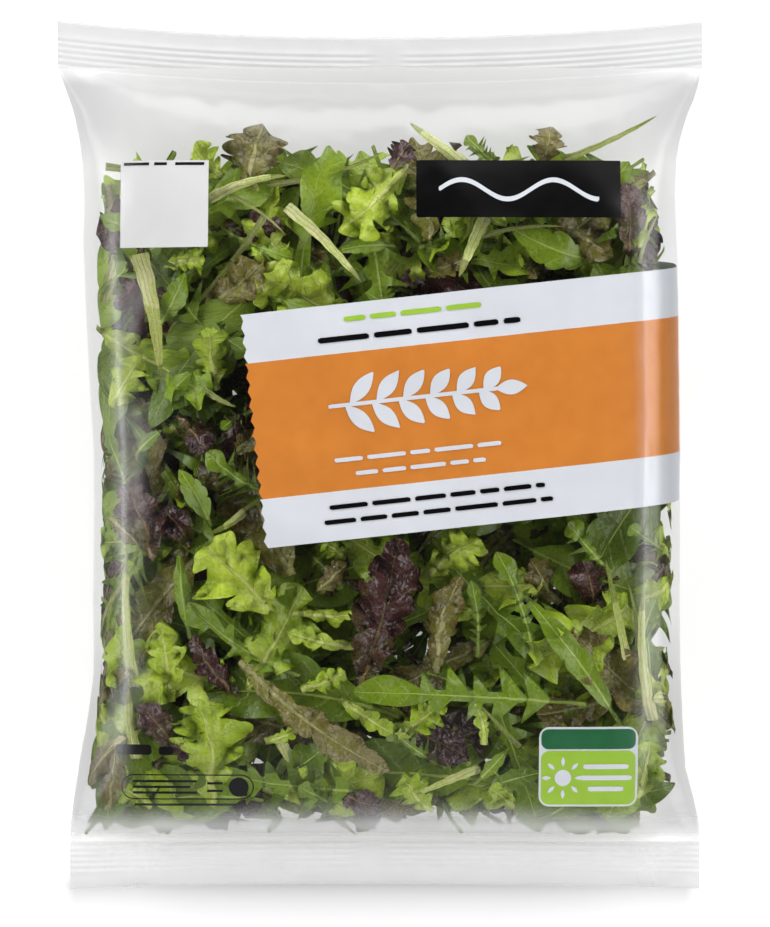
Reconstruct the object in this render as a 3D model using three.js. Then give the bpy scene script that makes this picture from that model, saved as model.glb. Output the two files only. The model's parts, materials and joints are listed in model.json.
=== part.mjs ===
// A clear pillow bag of salad leaves, lying on its back: one closed solid of the
// filled bag, out to the film. Millimetres, +Z up, +Y towards the top seal.
// The origin is on the table, under the middle of the bag.
import * as THREE from "three";

// Driving sizes of the bag
const LENGTH = 269; // from the bottom corners to the top corners
const THICKNESS = 48; // where the leaves fill it most
const SIDE_HEIGHT = 19; // of the line where front and back film meet, and of both seals
const SEAL_DEPTH = 14.5; // of each sealed strip, measured along the bag
const SEAL_THICKNESS = 1.2;
const SEAL_LINE = LENGTH / 2 - SEAL_DEPTH; // where the pocket starts, from the middle

// The bag seen from above. Each side runs in from the wide corners of the seals to
// the waist, as a filled film tube does, and the flare fades over its reach.
const LEFT = {
  waist: 88.65,
  top: { flare: 11.2, reach: 20, power: 1.2 },
  bottom: { flare: 7.3, reach: 41, power: 1.45 },
};
const RIGHT = {
  waist: 92.55,
  top: { flare: 7.3, reach: 13, power: 1.5 },
  bottom: { flare: 6.4, reach: 30, power: 1.2 },
};
const TOP_BOW = 5.4; // how far the middle of the top edge is drawn down
const BOTTOM_BOW = 1.4;
const BOW_REACH = 45; // how far into the pocket the bow carries

// The bag seen in section. The powers give a squarer shoulder as they grow.
const FRONT_RISE = THICKNESS - SIDE_HEIGHT - SEAL_THICKNESS / 2;
const BACK_DROP = 20.5; // past the table, which presses the back flat
const LEFT_SHOULDER = 2.5;
const RIGHT_SHOULDER = 3.8;
const BACK_SHOULDER = 5;
const END_POWER = 3.2; // how square the pocket is from seal to seal
const END_ROUNDING = 0.75;

// Crimped ribs of the seals. They stop short of the overlapped back seam.
const RIBS = 5;
const RIB_PITCH = 1.8;
const RIB_HEIGHT = 0.45;
const RIB_START = 1.2; // from the seal's inner line
const RIB_GAP = 4.5; // half the width left plain at the back seam
const SEAL_WAVE = 1.3; // how far the seals leave one plane
const SEAL_WAVE_LENGTH = 150;
const SEAL_WAVE_REACH = 30;

// The overlapped seam along the back
const SEAM = { topX: 3, bottomX: -2.5, halfWidth: 6, groove: 2.2, depth: 0.7 };

// Folds that run from the seals into the pocket
const PLEAT_HEIGHT = 1.1;
const PLEAT_PITCH = 19;
const PLEAT_REACH = 10;

// Leaves press the film out into low mounds, one to a cell of a loose grid.
const MOUND_COLUMNS = 4;
const MOUND_ROWS = 7;
const MOUND_HEIGHT = 1.7;
const MOUND_LENGTH = 33; // half of it
const MOUND_WIDTH = 13;
const MOUND_AREA = { x: 78, y: 98 };
const SEED = 150;

// How finely the skin is cut into faces
const COLUMNS = 38;
const POCKET_ROWS = 40;
const GIRTH_SAMPLES = 800;

// A repeatable random number from 0 to 1.
function randomSource(seed) {
  let state = seed;
  return () => {
    state = (state + 0x6d2b79f5) | 0;
    let mixed = Math.imul(state ^ (state >>> 15), 1 | state);
    mixed = (mixed + Math.imul(mixed ^ (mixed >>> 7), 61 | mixed)) ^ mixed;
    return ((mixed ^ (mixed >>> 14)) >>> 0) / 4294967296;
  };
}

function makeMounds() {
  const random = randomSource(SEED);
  const mounds = [];
  for (let row = 0; row < MOUND_ROWS; row++)
    for (let column = 0; column < MOUND_COLUMNS; column++) {
      const turn = Math.PI * random();
      mounds.push({
        x: MOUND_AREA.x * ((2 * (column + 0.2 + 0.6 * random())) / MOUND_COLUMNS - 1),
        y: MOUND_AREA.y * ((2 * (row + 0.2 + 0.6 * random())) / MOUND_ROWS - 1),
        along: [Math.cos(turn), Math.sin(turn)],
        length: MOUND_LENGTH * (0.7 + 0.5 * random()),
        width: MOUND_WIDTH * (0.6 + 0.8 * random()),
        height: MOUND_HEIGHT * (0.4 + 0.6 * random()),
      });
    }
  return mounds;
}

const MOUNDS = makeMounds();

function moundsAt(x, y) {
  let height = 0;
  for (const mound of MOUNDS) {
    const dx = x - mound.x;
    const dy = y - mound.y;
    const along = (dx * mound.along[0] + dy * mound.along[1]) / mound.length;
    const across = (dy * mound.along[0] - dx * mound.along[1]) / mound.width;
    const inside = Math.max(0, 1 - along * along - across * across);
    height += mound.height * inside * inside;
  }
  return height;
}

const fade = (distance, { reach, power }) => Math.exp(-((Math.max(0, distance) / reach) ** power));

function halfWidth(side, y) {
  return (
    side.waist +
    side.top.flare * fade(SEAL_LINE - y, side.top) +
    side.bottom.flare * fade(SEAL_LINE + y, side.bottom)
  );
}

// 1 in the middle of the bag and 0 from the seals outwards.
function pocketShare(y) {
  const share = Math.min(1, Math.abs(y) / SEAL_LINE);
  return (1 - share ** END_POWER) ** END_ROUNDING;
}

const shoulder = (share, power) => Math.max(0, 1 - Math.abs(share) ** power) ** (1 / power);

// A triangular wave from -1 to 1 over the ribbed part of a seal, and 0 elsewhere.
function ribWave(x, y) {
  const past = (Math.abs(y) - SEAL_LINE - RIB_START) / RIB_PITCH;
  if (past < 0 || past > RIBS || Math.abs(x - seamX(y)) < RIB_GAP) return 0;
  return 1 - 4 * Math.abs((past % 1) - 0.5);
}

function seamX(y) {
  return THREE.MathUtils.lerp(SEAM.bottomX, SEAM.topX, y / LENGTH + 0.5);
}

// The film beside the double seam doesn't reach the table.
function seamGroove(x, y) {
  const offset = (Math.abs(x - seamX(y)) - SEAM.halfWidth) / SEAM.groove;
  return SEAM.depth * Math.max(0, 1 - offset * offset);
}

function pleats(x, y, phase) {
  const inward = Math.max(0, SEAL_LINE - Math.abs(y)) / PLEAT_REACH;
  const wobble = 2.1 * Math.sin(x / 31 + phase);
  const wave = 0.5 + 0.5 * Math.cos((2 * Math.PI * x) / PLEAT_PITCH + wobble);
  return PLEAT_HEIGHT * wave * inward * Math.exp(1 - inward);
}

function middleHeight(x, y) {
  const inward = Math.max(0, SEAL_LINE - Math.abs(y));
  const wave = Math.sin((2 * Math.PI * x) / SEAL_WAVE_LENGTH + Math.sign(y));
  return SIDE_HEIGHT + SEAL_WAVE * wave * Math.exp(-inward / SEAL_WAVE_REACH);
}

function frontHeight(share, x, y) {
  const power = x < 0 ? LEFT_SHOULDER : RIGHT_SHOULDER;
  const dome = pocketShare(y) * shoulder(share, power);
  return (
    middleHeight(x, y) +
    SEAL_THICKNESS / 2 +
    RIB_HEIGHT * ribWave(x, y) +
    FRONT_RISE * dome +
    Math.min(1, 2 * dome) * (pleats(x, y, 0) + moundsAt(x, y))
  );
}

function backHeight(share, x, y) {
  const dome = pocketShare(y) * shoulder(share, BACK_SHOULDER);
  const film =
    middleHeight(x, y) -
    SEAL_THICKNESS / 2 +
    RIB_HEIGHT * ribWave(x, y) -
    BACK_DROP * dome -
    Math.min(1, 2 * dome) * pleats(x, y, 1.7);
  return Math.max(0, film) + seamGroove(x, y) * pocketShare(y);
}

// Share of the half width, from -1 to 1, and place along the bag, to a point.
function skinPoint(heightOf, share, y) {
  const x = share * halfWidth(share < 0 ? LEFT : RIGHT, y);
  const bow = y > 0 ? -TOP_BOW : BOTTOM_BOW;
  const inward = Math.max(0, SEAL_LINE - Math.abs(y));
  const drawn = bow * (1 - share * share) * Math.exp(-inward / BOW_REACH);
  const carried = THREE.MathUtils.smoothstep(Math.abs(y), 0, SEAL_LINE);
  return [x, y + drawn * carried, heightOf(share, x, y)];
}

// Columns an equal way apart round the girth, so that the sides stay round, with
// more of them along the edges of the back seam.
function columnShares() {
  const lengths = [0];
  const shares = [-1];
  let [lastX, , lastZ] = skinPoint(frontHeight, -1, 0);
  for (let i = 1; i <= GIRTH_SAMPLES; i++) {
    const share = -Math.cos((Math.PI * i) / GIRTH_SAMPLES);
    const [x, , z] = skinPoint(frontHeight, share, 0);
    lengths.push(lengths[i - 1] + Math.hypot(x - lastX, z - lastZ));
    shares.push(share);
    [lastX, lastZ] = [x, z];
  }
  const even = [];
  for (let column = 0; column <= COLUMNS; column++) {
    const target = (lengths[GIRTH_SAMPLES] * column) / COLUMNS;
    even.push(shares[lengths.findIndex((length) => length >= target - 1e-9)]);
  }
  const edges = [-1, 0, 1].map((step) => (SEAM.halfWidth + step * SEAM.groove) / RIGHT.waist);
  const seam = edges.flatMap((edge) => [-edge, edge]);
  const clear = even.filter((share) => !seam.some((edge) => Math.abs(share - edge) < 0.012));
  return [...clear, ...seam].sort((a, b) => a - b);
}

// Rows on each fold of the ribs, and closer together near the seals than between.
function rowPlaces() {
  const seal = [SEAL_LINE + RIB_START / 2];
  for (let fold = 0; fold <= 2 * RIBS; fold++)
    seal.push(SEAL_LINE + RIB_START + (fold * RIB_PITCH) / 2);
  seal.push(LENGTH / 2);
  const pocket = [];
  for (let row = 0; row <= POCKET_ROWS; row++) {
    const even = (2 * row) / POCKET_ROWS - 1;
    pocket.push(SEAL_LINE * (0.55 * even + 0.45 * Math.sin((Math.PI / 2) * even)));
  }
  return [...seal.map((y) => -y).reverse(), ...pocket, ...seal];
}

// Front and back skins as grids of points, and a thin wall round their rims.
function bagGeometry() {
  const shares = columnShares();
  const rows = rowPlaces();
  const positions = [];
  for (const heightOf of [frontHeight, backHeight])
    for (const y of rows)
      for (const share of shares) positions.push(...skinPoint(heightOf, share, y));

  const across = shares.length;
  const backStart = across * rows.length;
  const front = (row, column) => row * across + column;
  const back = (row, column) => backStart + front(row, column);
  const index = [];
  const quad = (a, b, c, d) => index.push(a, b, c, a, c, d);
  for (let row = 0; row + 1 < rows.length; row++)
    for (let column = 0; column + 1 < across; column++) {
      const corners = [
        [row, column],
        [row, column + 1],
        [row + 1, column + 1],
        [row + 1, column],
      ];
      quad(...corners.map((corner) => front(...corner)));
      quad(...corners.map((corner) => back(...corner)).reverse());
    }
  const rim = (from, to) => quad(front(...from), back(...from), back(...to), front(...to));
  for (let column = 0; column + 1 < across; column++) {
    rim([0, column], [0, column + 1]);
    rim([rows.length - 1, column + 1], [rows.length - 1, column]);
  }
  for (let row = 0; row + 1 < rows.length; row++) {
    rim([row + 1, 0], [row, 0]);
    rim([row, across - 1], [row + 1, across - 1]);
  }
  const geometry = new THREE.BufferGeometry();
  geometry.setAttribute("position", new THREE.Float32BufferAttribute(positions, 3));
  geometry.setIndex(index);
  geometry.computeVertexNormals();
  return geometry;
}

const film = new THREE.MeshStandardMaterial({
  color: 0x6f8a3c,
  roughness: 0.25,
  metalness: 0,
});

const bag = new THREE.Mesh(bagGeometry(), film);
bag.name = "salad_bag";

const salad = new THREE.Group();
salad.add(bag);

export default salad;
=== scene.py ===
# %% [markdown]
# A clear pillow bag of salad leaves lies on its back, and the camera looks down on it.
# On the real thing one tube of thin film is welded shut at both ends round loose leaves,
# and its print lies on the inside of the film. So the scene is made in that order: the
# film from the frame's own solid, then what lies against it, print and leaves, which are
# both fitted to the film that was just made. Sizes are millimetres until a mesh is made.

import json
import math

import bmesh
import bpy
import numpy as np
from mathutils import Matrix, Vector
from mathutils.bvhtree import BVHTree
from mathutils.geometry import delaunay_2d_cdt

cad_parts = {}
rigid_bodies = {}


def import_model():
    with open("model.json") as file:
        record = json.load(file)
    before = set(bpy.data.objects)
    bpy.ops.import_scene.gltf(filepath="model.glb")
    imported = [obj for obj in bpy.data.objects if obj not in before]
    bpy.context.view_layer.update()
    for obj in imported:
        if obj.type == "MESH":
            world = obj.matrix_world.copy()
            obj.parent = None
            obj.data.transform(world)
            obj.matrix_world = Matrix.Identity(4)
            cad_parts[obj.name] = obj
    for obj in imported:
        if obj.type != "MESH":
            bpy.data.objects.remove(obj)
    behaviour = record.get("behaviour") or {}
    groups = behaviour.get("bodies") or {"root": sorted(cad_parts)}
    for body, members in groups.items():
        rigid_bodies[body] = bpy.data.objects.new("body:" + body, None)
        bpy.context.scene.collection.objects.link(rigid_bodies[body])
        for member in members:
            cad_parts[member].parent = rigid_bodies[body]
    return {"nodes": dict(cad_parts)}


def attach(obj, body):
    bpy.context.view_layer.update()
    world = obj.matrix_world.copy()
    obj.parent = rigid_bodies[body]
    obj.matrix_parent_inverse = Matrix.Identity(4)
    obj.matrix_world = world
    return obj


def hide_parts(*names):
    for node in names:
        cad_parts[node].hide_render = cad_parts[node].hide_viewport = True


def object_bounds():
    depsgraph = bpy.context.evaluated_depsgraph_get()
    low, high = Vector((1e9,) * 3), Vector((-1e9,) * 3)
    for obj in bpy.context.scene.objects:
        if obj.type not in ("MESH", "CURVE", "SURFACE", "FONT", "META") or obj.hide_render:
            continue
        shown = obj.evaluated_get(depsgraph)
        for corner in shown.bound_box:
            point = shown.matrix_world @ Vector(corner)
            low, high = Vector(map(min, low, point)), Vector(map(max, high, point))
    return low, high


MM = 0.001
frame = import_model()
cad_low, cad_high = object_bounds()
bag_node = frame["nodes"]["salad_bag"]
scene = bpy.context.scene
print("solid bag in mm", [round(v / MM, 1) for v in cad_high - cad_low])

# %% [markdown]
# The photograph was taken square on with a long lens. A camera that isn't turned looks
# straight down with +Y up in the picture, so it only needs its place. The lens follows
# from the distance and from how much of the table the picture's long side shows.

# %% Camera
PHOTO_HEIGHT = 927  # pixels, the long side
PIXELS_PER_MM = 3.225  # at the height of the seals
AIM = Vector((1.55, -2.76, 19.0))  # what the middle of the picture shows
CAMERA_DISTANCE = 1500
SENSOR_SIDE = 36

camera_data = bpy.data.cameras.new("camera")
camera_data.sensor_width = SENSOR_SIDE
camera_data.lens = SENSOR_SIDE * CAMERA_DISTANCE / (PHOTO_HEIGHT / PIXELS_PER_MM)
camera = bpy.data.objects.new("camera", camera_data)
camera.location = (AIM + Vector((0, 0, CAMERA_DISTANCE))) * MM
scene.collection.objects.link(camera)
scene.camera = camera
print("lens in mm", round(camera_data.lens, 1))

# %% [markdown]
# Most finishes here are a Principled shader with a few nodes in front of it. Two helpers
# keep those short: one adds a node and fills its sockets, and one starts a material.

# %% Node helpers


def feed(tree, socket, value):
    """Fills a socket with a plain value, or links the socket that feeds it."""
    if isinstance(value, bpy.types.NodeSocket):
        tree.links.new(value, socket)
    else:
        socket.default_value = value


def add_node(tree, kind, settings=None, **sockets):
    """A new node. Sockets are given by name, as numbers or as the socket that feeds them."""
    node = tree.nodes.new(kind)
    for name, value in (settings or {}).items():
        setattr(node, name, value)
    for name, value in sockets.items():
        found = [s for s in node.inputs if s.name.replace(" ", "_") == name and s.enabled]
        feed(tree, found[0] if found else node.inputs[int(name[1:])], value)
    return node


def read_number(tree, name, output="Fac"):
    """The socket that reads a number, or a Vector, stored on a mesh's points."""
    return add_node(tree, "ShaderNodeAttribute", {"attribute_name": name}).outputs[output]


def start_material(name):
    """A material with an empty tree but for its output and a Principled shader."""
    material = bpy.data.materials.new(name)
    material.use_nodes = True
    return material, material.node_tree, material.node_tree.nodes["Principled BSDF"]


def math_node(tree, operation, *values, clamp=False):
    """One sum on numbers or sockets; returns the socket with the result."""
    node = tree.nodes.new("ShaderNodeMath")
    node.operation = operation
    node.use_clamp = clamp
    for socket, value in zip(node.inputs, values):
        feed(tree, socket, value)
    return node.outputs[0]


def ramp_node(tree, value, start, end, low=0.0, high=1.0, shape="LINEAR"):
    """A ramp from low to high while value goes from start to end: straight, or an S."""
    node = add_node(tree, "ShaderNodeMapRange", {"interpolation_type": shape}, Value=value,
                    From_Min=start, From_Max=end, To_Min=low, To_Max=high)
    return node.outputs["Result"]


def blend_node(tree, share, first, second):
    """A colour between two colours; share 0 gives the first."""
    node = tree.nodes.new("ShaderNodeMix")
    node.data_type = "RGBA"
    for place, value in ((0, share), (6, first), (7, second)):
        feed(tree, node.inputs[place], (*value, 1) if isinstance(value, tuple) else value)
    return node.outputs[2]


# %% [markdown]
# Shiny film shows its lights as in a mirror, so where they are matters as much as how
# bright they are. The photo has a pale band down each side of the bag and none in the
# middle. So four wide soft lights stand low round the bag, where only the steep sides of
# the film mirror them, and it is dark above. They are painted on the sky with soft
# edges, because a hard-edged lamp would draw its outline on the film.

# %% Soft lights in the sky
SIDE_HEIGHT = ((0.20, 0.44), (0.50, 0.72))  # where a light fades in and out, in sines of its height
TOP_HEIGHT = ((0.08, 0.24), (0.40, 0.56))
BOTTOM_HEIGHT = ((0.04, 0.16), (0.26, 0.40))
LOBES = (  # axis, which way along it, where the light starts and is full on it, height, radiance
    ("X", -1, 0.42, 0.80, SIDE_HEIGHT, 4.6),
    ("X", 1, 0.42, 0.80, SIDE_HEIGHT, 4.6),
    ("Y", 1, 0.40, 0.78, TOP_HEIGHT, 4.1),
    ("Y", -1, 0.40, 0.78, BOTTOM_HEIGHT, 1.5),
)
HORIZON_LIGHT = 0.40
ZENITH_LIGHT = 0.03
ZENITH_FADE = (0.62, 0.87)


world = bpy.data.worlds.new("studio")
scene.world = world
world.use_nodes = True
sky = world.node_tree
sky_place = add_node(sky, "ShaderNodeTexCoord").outputs["Generated"]
direction = add_node(sky, "ShaderNodeSeparateXYZ", _0=sky_place)
height = direction.outputs["Z"]
total = ramp_node(sky, height, *ZENITH_FADE, HORIZON_LIGHT, ZENITH_LIGHT, "SMOOTHSTEP")
for axis, sign, start, full, (fade_in, fade_out), radiance in LOBES:
    in_height = math_node(sky, "MULTIPLY", ramp_node(sky, height, *fade_in, shape="SMOOTHSTEP"),
                          ramp_node(sky, height, *fade_out, 1.0, 0.0, "SMOOTHSTEP"))
    along = math_node(sky, "MULTIPLY", direction.outputs[axis], float(sign))
    lobe = math_node(sky, "MULTIPLY", in_height,
                     ramp_node(sky, along, start, full, 0.0, radiance, "SMOOTHSTEP"))
    total = math_node(sky, "ADD", total, lobe)
background = sky.nodes["Background"]
background.inputs["Color"].default_value = (1, 1, 1, 1)
sky.links.new(total, background.inputs["Strength"])
scene.view_settings.view_transform = "Standard"

# %% [markdown]
# The table is a pale sweep. It is only there to carry the shadow and to show through
# the empty film at the top, so it is a plain square with a faint grain. It glows a
# little, because a lit table under a dark sky would stay grey. A glow takes no shadow,
# so the soft shade under the bag and below its lower seal is painted as less glow.

# %% Table
TABLE_SIDE = 6000
TABLE_DROP = 0.2  # the table lies this much lower than the bag
TABLE_GLOW = 0.63
TOP_GLOW = 0.80  # share of that glow beyond the upper seal
TOP_FADE = (70, 140)  # it falls to that share between these, from the middle of the bag up
LOWER_END = 135.0  # where the lower seal ends above the table, from the middle of the bag
SEAL_SHADE = 0.75  # share of the glow that it takes away there
SEAL_CORNERS = (96, 101)  # from the middle line, where that shade starts to fade and is gone
SHADE_OUT = 6.5  # how far the shade of that seal reaches out from under it
SHADE_IN = 4.0  # and how far in
UNDER_BAG = 0.35  # share of the glow that the bag takes away under itself
UNDER_SIDES = (78, 92)  # from the middle line, where that fades and is gone
UNDER_TOP = (118, 134)  # the same from the middle up
UNDER_BOTTOM = (-13, -9)  # and from the lower seal's end down

table_mesh = bpy.data.meshes.new("table")
half_table = TABLE_SIDE / 2 * MM
corners = [(-half_table, -half_table, 0), (half_table, -half_table, 0),
           (half_table, half_table, 0), (-half_table, half_table, 0)]
table_mesh.from_pydata(corners, [], [(0, 1, 2, 3)])
table = bpy.data.objects.new("table", table_mesh)
table.location.z = -TABLE_DROP * MM
scene.collection.objects.link(table)

pale, tree, shader = start_material("pale_table")
grain = add_node(tree, "ShaderNodeTexNoise", Scale=40.0, Detail=3.0)
tree.links.new(blend_node(tree, grain.outputs["Fac"], (0.54, 0.54, 0.54), (0.57, 0.57, 0.57)),
               shader.inputs["Base Color"])
shader.inputs["Roughness"].default_value = 0.9
shader.inputs["Emission Color"].default_value = (1, 1, 1, 1)
spot = add_node(tree, "ShaderNodeSeparateXYZ", _0=add_node(tree, "ShaderNodeTexCoord").outputs["Object"])
off_middle = math_node(tree, "MULTIPLY", math_node(tree, "ABSOLUTE", spot.outputs["X"]), 1 / MM)
upward = math_node(tree, "MULTIPLY", spot.outputs["Y"], 1 / MM)
below = math_node(tree, "MULTIPLY_ADD", spot.outputs["Y"], -1 / MM, -LOWER_END)
outside = math_node(tree, "MULTIPLY", math_node(tree, "MAXIMUM", below, 0.0), -1 / SHADE_OUT)
inside = math_node(tree, "MULTIPLY", math_node(tree, "MINIMUM", below, 0.0), 1 / SHADE_IN)
line = math_node(tree, "EXPONENT", math_node(tree, "ADD", outside, inside))
line = math_node(tree, "MULTIPLY", line, ramp_node(tree, off_middle, *SEAL_CORNERS, SEAL_SHADE, 0.0))
under = math_node(tree, "MULTIPLY", ramp_node(tree, off_middle, *UNDER_SIDES, UNDER_BAG, 0.0),
                  ramp_node(tree, upward, *UNDER_TOP, 1.0, 0.0))
under = math_node(tree, "MULTIPLY", under, ramp_node(tree, below, *UNDER_BOTTOM, 1.0, 0.0))
shade = math_node(tree, "MAXIMUM", under, line)
glow = math_node(tree, "MULTIPLY_ADD", shade, -TABLE_GLOW, TABLE_GLOW)
glow = math_node(tree, "MULTIPLY", glow, ramp_node(tree, upward, *TOP_FADE, 1.0, TOP_GLOW))
tree.links.new(glow, shader.inputs["Emission Strength"])
table_mesh.materials.append(pale)

# %% [markdown]
# The film has the shape of the frame's solid, but smooth. A copy of that mesh is merged,
# its triangles are paired to quads and it gets two levels of Subdivision Surface. The
# seals would go round at their corners, so their rims are creased first. Folds are then
# ridges along straight lines, and small crinkles are a sum of waves with a fixed seed.
# Where the film is milky, grey or too creased to shine is worked out here as well and
# stored on the points, because numbers on a mesh cost no render time. The welded seals
# are milky; the white above the lower seal and along the two long side folds also paints
# a pale sheen, and the grey at the sides, corners and ends is partly gathered film and
# partly painted shade.

# %% Film shape
SEAL_LINE = 120  # from the middle of the bag, where the pocket starts
SUBDIVISIONS = 2
RIM_SLOPE = 0.3  # a face whose normal leans up by less than this is part of a rim
CORNER_REACH = 6  # a point this close to a corner of a seal keeps it sharp
MERGE_WITHIN = 0.001
END_WITHIN = 0.01


def smooth_copy(node):
    """The node's mesh as quads, subdivided, with the rims of the seals kept sharp."""
    shell = bmesh.new()
    shell.from_mesh(node.data)
    bmesh.ops.remove_doubles(shell, verts=shell.verts, dist=MERGE_WITHIN * MM)
    bmesh.ops.join_triangles(shell, faces=shell.faces, angle_face_threshold=math.pi,
                             angle_shape_threshold=math.pi)
    crease = shell.edges.layers.float.new("crease_edge")
    corner = shell.verts.layers.float.new("crease_vert")
    widest = {side: max(side * v.co.x for v in shell.verts) for side in (-1, 1)}
    for edge in shell.edges:
        in_seal = all(abs(v.co.y) > SEAL_LINE * MM for v in edge.verts)
        upright = [abs(face.normal.z) < RIM_SLOPE for face in edge.link_faces]
        if in_seal and any(upright) and not all(upright):
            edge[crease] = 1.0
    for vert in shell.verts:
        side = 1 if vert.co.x > 0 else -1
        at_end = abs(vert.co.y) > cad_high.y - END_WITHIN * MM
        if at_end and side * vert.co.x > widest[side] - CORNER_REACH * MM:
            vert[corner] = 1.0
    copy = bpy.data.meshes.new("film_cage")
    shell.to_mesh(copy)
    shell.free()
    cage = bpy.data.objects.new("film_cage", copy)
    scene.collection.objects.link(cage)
    smoothing = cage.modifiers.new("smooth", "SUBSURF")
    smoothing.levels = smoothing.render_levels = SUBDIVISIONS
    evaluated = cage.evaluated_get(bpy.context.evaluated_depsgraph_get())
    fine = bpy.data.meshes.new_from_object(evaluated)
    bpy.data.objects.remove(cage)
    return fine


film_mesh = smooth_copy(bag_node)
film_mesh.name = "clear_film"
print("film faces", len(film_mesh.polygons))

# %% Folds and crinkles of the film
FRONT_FOLDS = (  # start x, y, end x, y, half width, height, how milky it is (on the two long side folds also a painted highlight)
    (-79, 70, -79, -114, 2.2, 0.45, 0.20),
    (80, 80, 80, -114, 1.9, 0.45, 0.14),
    (-88, 119, -70, 106, 2.6, 0.3, 0.03),
    (-60, 119, -52, 104, 2.8, 0.25, 0.02),
    (86, 119, 76, 104, 2.6, 0.3, 0.03),
    (58, 119, 52, 105, 2.8, 0.25, 0.02),
    (-92, -119, -80, -96, 2.2, 0.7, 0.04),
    (-70, -119, -66, -104, 2.2, 0.6, 0.03),
    (95, -119, 84, -98, 2.2, 0.7, 0.04),
    (66, -119, 62, -106, 2.4, 0.6, 0.03),
)
CRINKLES = 40
CRINKLE_HEIGHT = 0.05
CRINKLE_LENGTHS = (5, 16)
POCKET_FADE = 6  # the film of the pocket gets stiffer over this way to a seal
SEAL_STEP = 0.5  # and turns milky over this way at its line
SEAL_MILK = 0.42
POCKET_MILK = 0.001
# painted sheen: white above the lower seal, where the film curves down to it
PAINTED_BOTTOM_SHEEN = 0.60
PAINTED_BOTTOM_SHEEN_RANGE = (107, 118)  # from the middle down, where it starts and is full
MEAN_MILK = 0.95
UNEVEN_MILK = 0.16  # the milk is uneven by this share
MILK_LENGTHS = (14, 34)
SIDE_NUDGES = {  # where the photo's outline isn't the solid's: heights on the bag, then mm in x
    -1: ((-120, -95, -80, -68, -45, 0, 15, 30, 50, 65, 80, 100, 120),
         (-0.4, 0.0, 1.0, 1.6, 0.3, 0.0, -0.9, -1.8, -2.7, -3.0, -2.0, -0.8, 0.0)),
    1: ((-116, -106, -97, -85, 0, 50, 65, 80, 92, 110, 120),
        (0.8, 0.3, -1.0, -0.6, 0.5, 0.0, -0.6, -1.2, -1.0, 1.0, 0.0)),
}
NUDGED = (55, 88)  # from the middle line, where a nudge starts and is full
ANYWHERE = (-300, -299)
GREY_AND_SHADE_AREAS = (  # film that lets less through, partly gathered film and partly painted shade: how grey, up or down the bag, where it starts and is full, the same sideways
    (0.42, 1, ANYWHERE, (78, 90)),
    (0.85, -1, (109, 117), ANYWHERE),
    (0.06, 1, (88, 108), ANYWHERE),
    (1.0, 1, (74, 106), (70, 96)),
    (1.0, -1, (25, 80), (78, 91)),
)
SEAL_GREY = 0.22  # of the upper seal
DULL_AREAS = (  # creased film at the upper corners and turned film at the sides shine less
    (0.65, 1, (82, 104), (58, 84)),
    (0.6, 1, ANYWHERE, (83, 90)),
)


def ridge(x, y, fold):
    """1 along the middle of a fold and falling off beside it and past its ends."""
    x0, y0, x1, y1, half_width = fold
    run = np.hypot(x1 - x0, y1 - y0)
    along = ((x - x0) * (x1 - x0) + (y - y0) * (y1 - y0)) / run**2
    across = np.hypot(x - x0 - along * (x1 - x0), y - y0 - along * (y1 - y0))
    ends = np.clip(1 - np.abs(2 * along - 1), 0, 1) ** 0.35
    return np.exp(-((across / half_width) ** 2)) * ends


def crinkle(x, y, seed, count, shortest, longest):
    """A sum of plane waves in random directions, about 1 high."""
    rng = np.random.default_rng(seed)
    total = np.zeros_like(x)
    for _ in range(count):
        turn = rng.uniform(0, math.pi)
        wave = 2 * math.pi / rng.uniform(shortest, longest)
        phase = rng.uniform(0, 2 * math.pi)
        total += np.sin(wave * (x * math.cos(turn) + y * math.sin(turn)) + phase)
    return total / math.sqrt(count)


# %% Read and write points


def coordinates(mesh):
    """A mesh's points in millimetres, one row each."""
    flat = np.empty(len(mesh.vertices) * 3, np.float32)
    mesh.vertices.foreach_get("co", flat)
    return flat.reshape(-1, 3).astype(float) / MM


def normals(mesh):
    """Which way a mesh's surface faces at each point."""
    flat = np.empty(len(mesh.vertices) * 3, np.float32)
    mesh.vertex_normals.foreach_get("vector", flat)
    return flat.reshape(-1, 3).astype(float)


def move_points(mesh, points):
    """Gives a mesh's points new places, in millimetres."""
    mesh.vertices.foreach_set("co", (points * MM).astype(np.float32).ravel())
    mesh.update()


def keep_number(mesh, name, values):
    """Stores one number, or one vector, for each point, for a material to read."""
    kind = "FLOAT" if values.ndim == 1 else "FLOAT_VECTOR"
    layer = mesh.attributes.get(name) or mesh.attributes.new(name, kind, "POINT")
    layer.data.foreach_set("value" if values.ndim == 1 else "vector", values.astype(np.float32).ravel())


# %% Shape the film


def step_up(value, start, end):
    """0 before start, 1 after end and a smooth S between."""
    share = np.clip((value - start) / (end - start), 0, 1)
    return share * share * (3 - 2 * share)


def strongest(areas, x, y):
    """How strong the strongest of some areas is at each point."""
    found = np.zeros_like(x)
    for strength, way, lengthwise, sideways in areas:
        found = np.maximum(found, strength * step_up(way * y, *lengthwise) * step_up(np.abs(x), *sideways))
    return found


points = coordinates(film_mesh)
outward = normals(film_mesh)
x, y, z = points.T
in_pocket = 1 - step_up(np.abs(y), SEAL_LINE - POCKET_FADE, SEAL_LINE)
above = (outward[:, 2] > 0.05) * in_pocket
lift = CRINKLE_HEIGHT * crinkle(x, y, 7, CRINKLES, *CRINKLE_LENGTHS) * in_pocket * (z > 1.0)
at_seal = (SEAL_LINE - SEAL_STEP, SEAL_LINE + SEAL_STEP)
milk = POCKET_MILK + (SEAL_MILK - POCKET_MILK) * step_up(np.abs(y), *at_seal)
# the folds turn milky; on the two long side folds that white is also a painted highlight
for *fold, height, cloudy in FRONT_FOLDS:
    shape = ridge(x, y, fold) * above
    lift += height * shape
    milk += cloudy * shape
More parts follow.
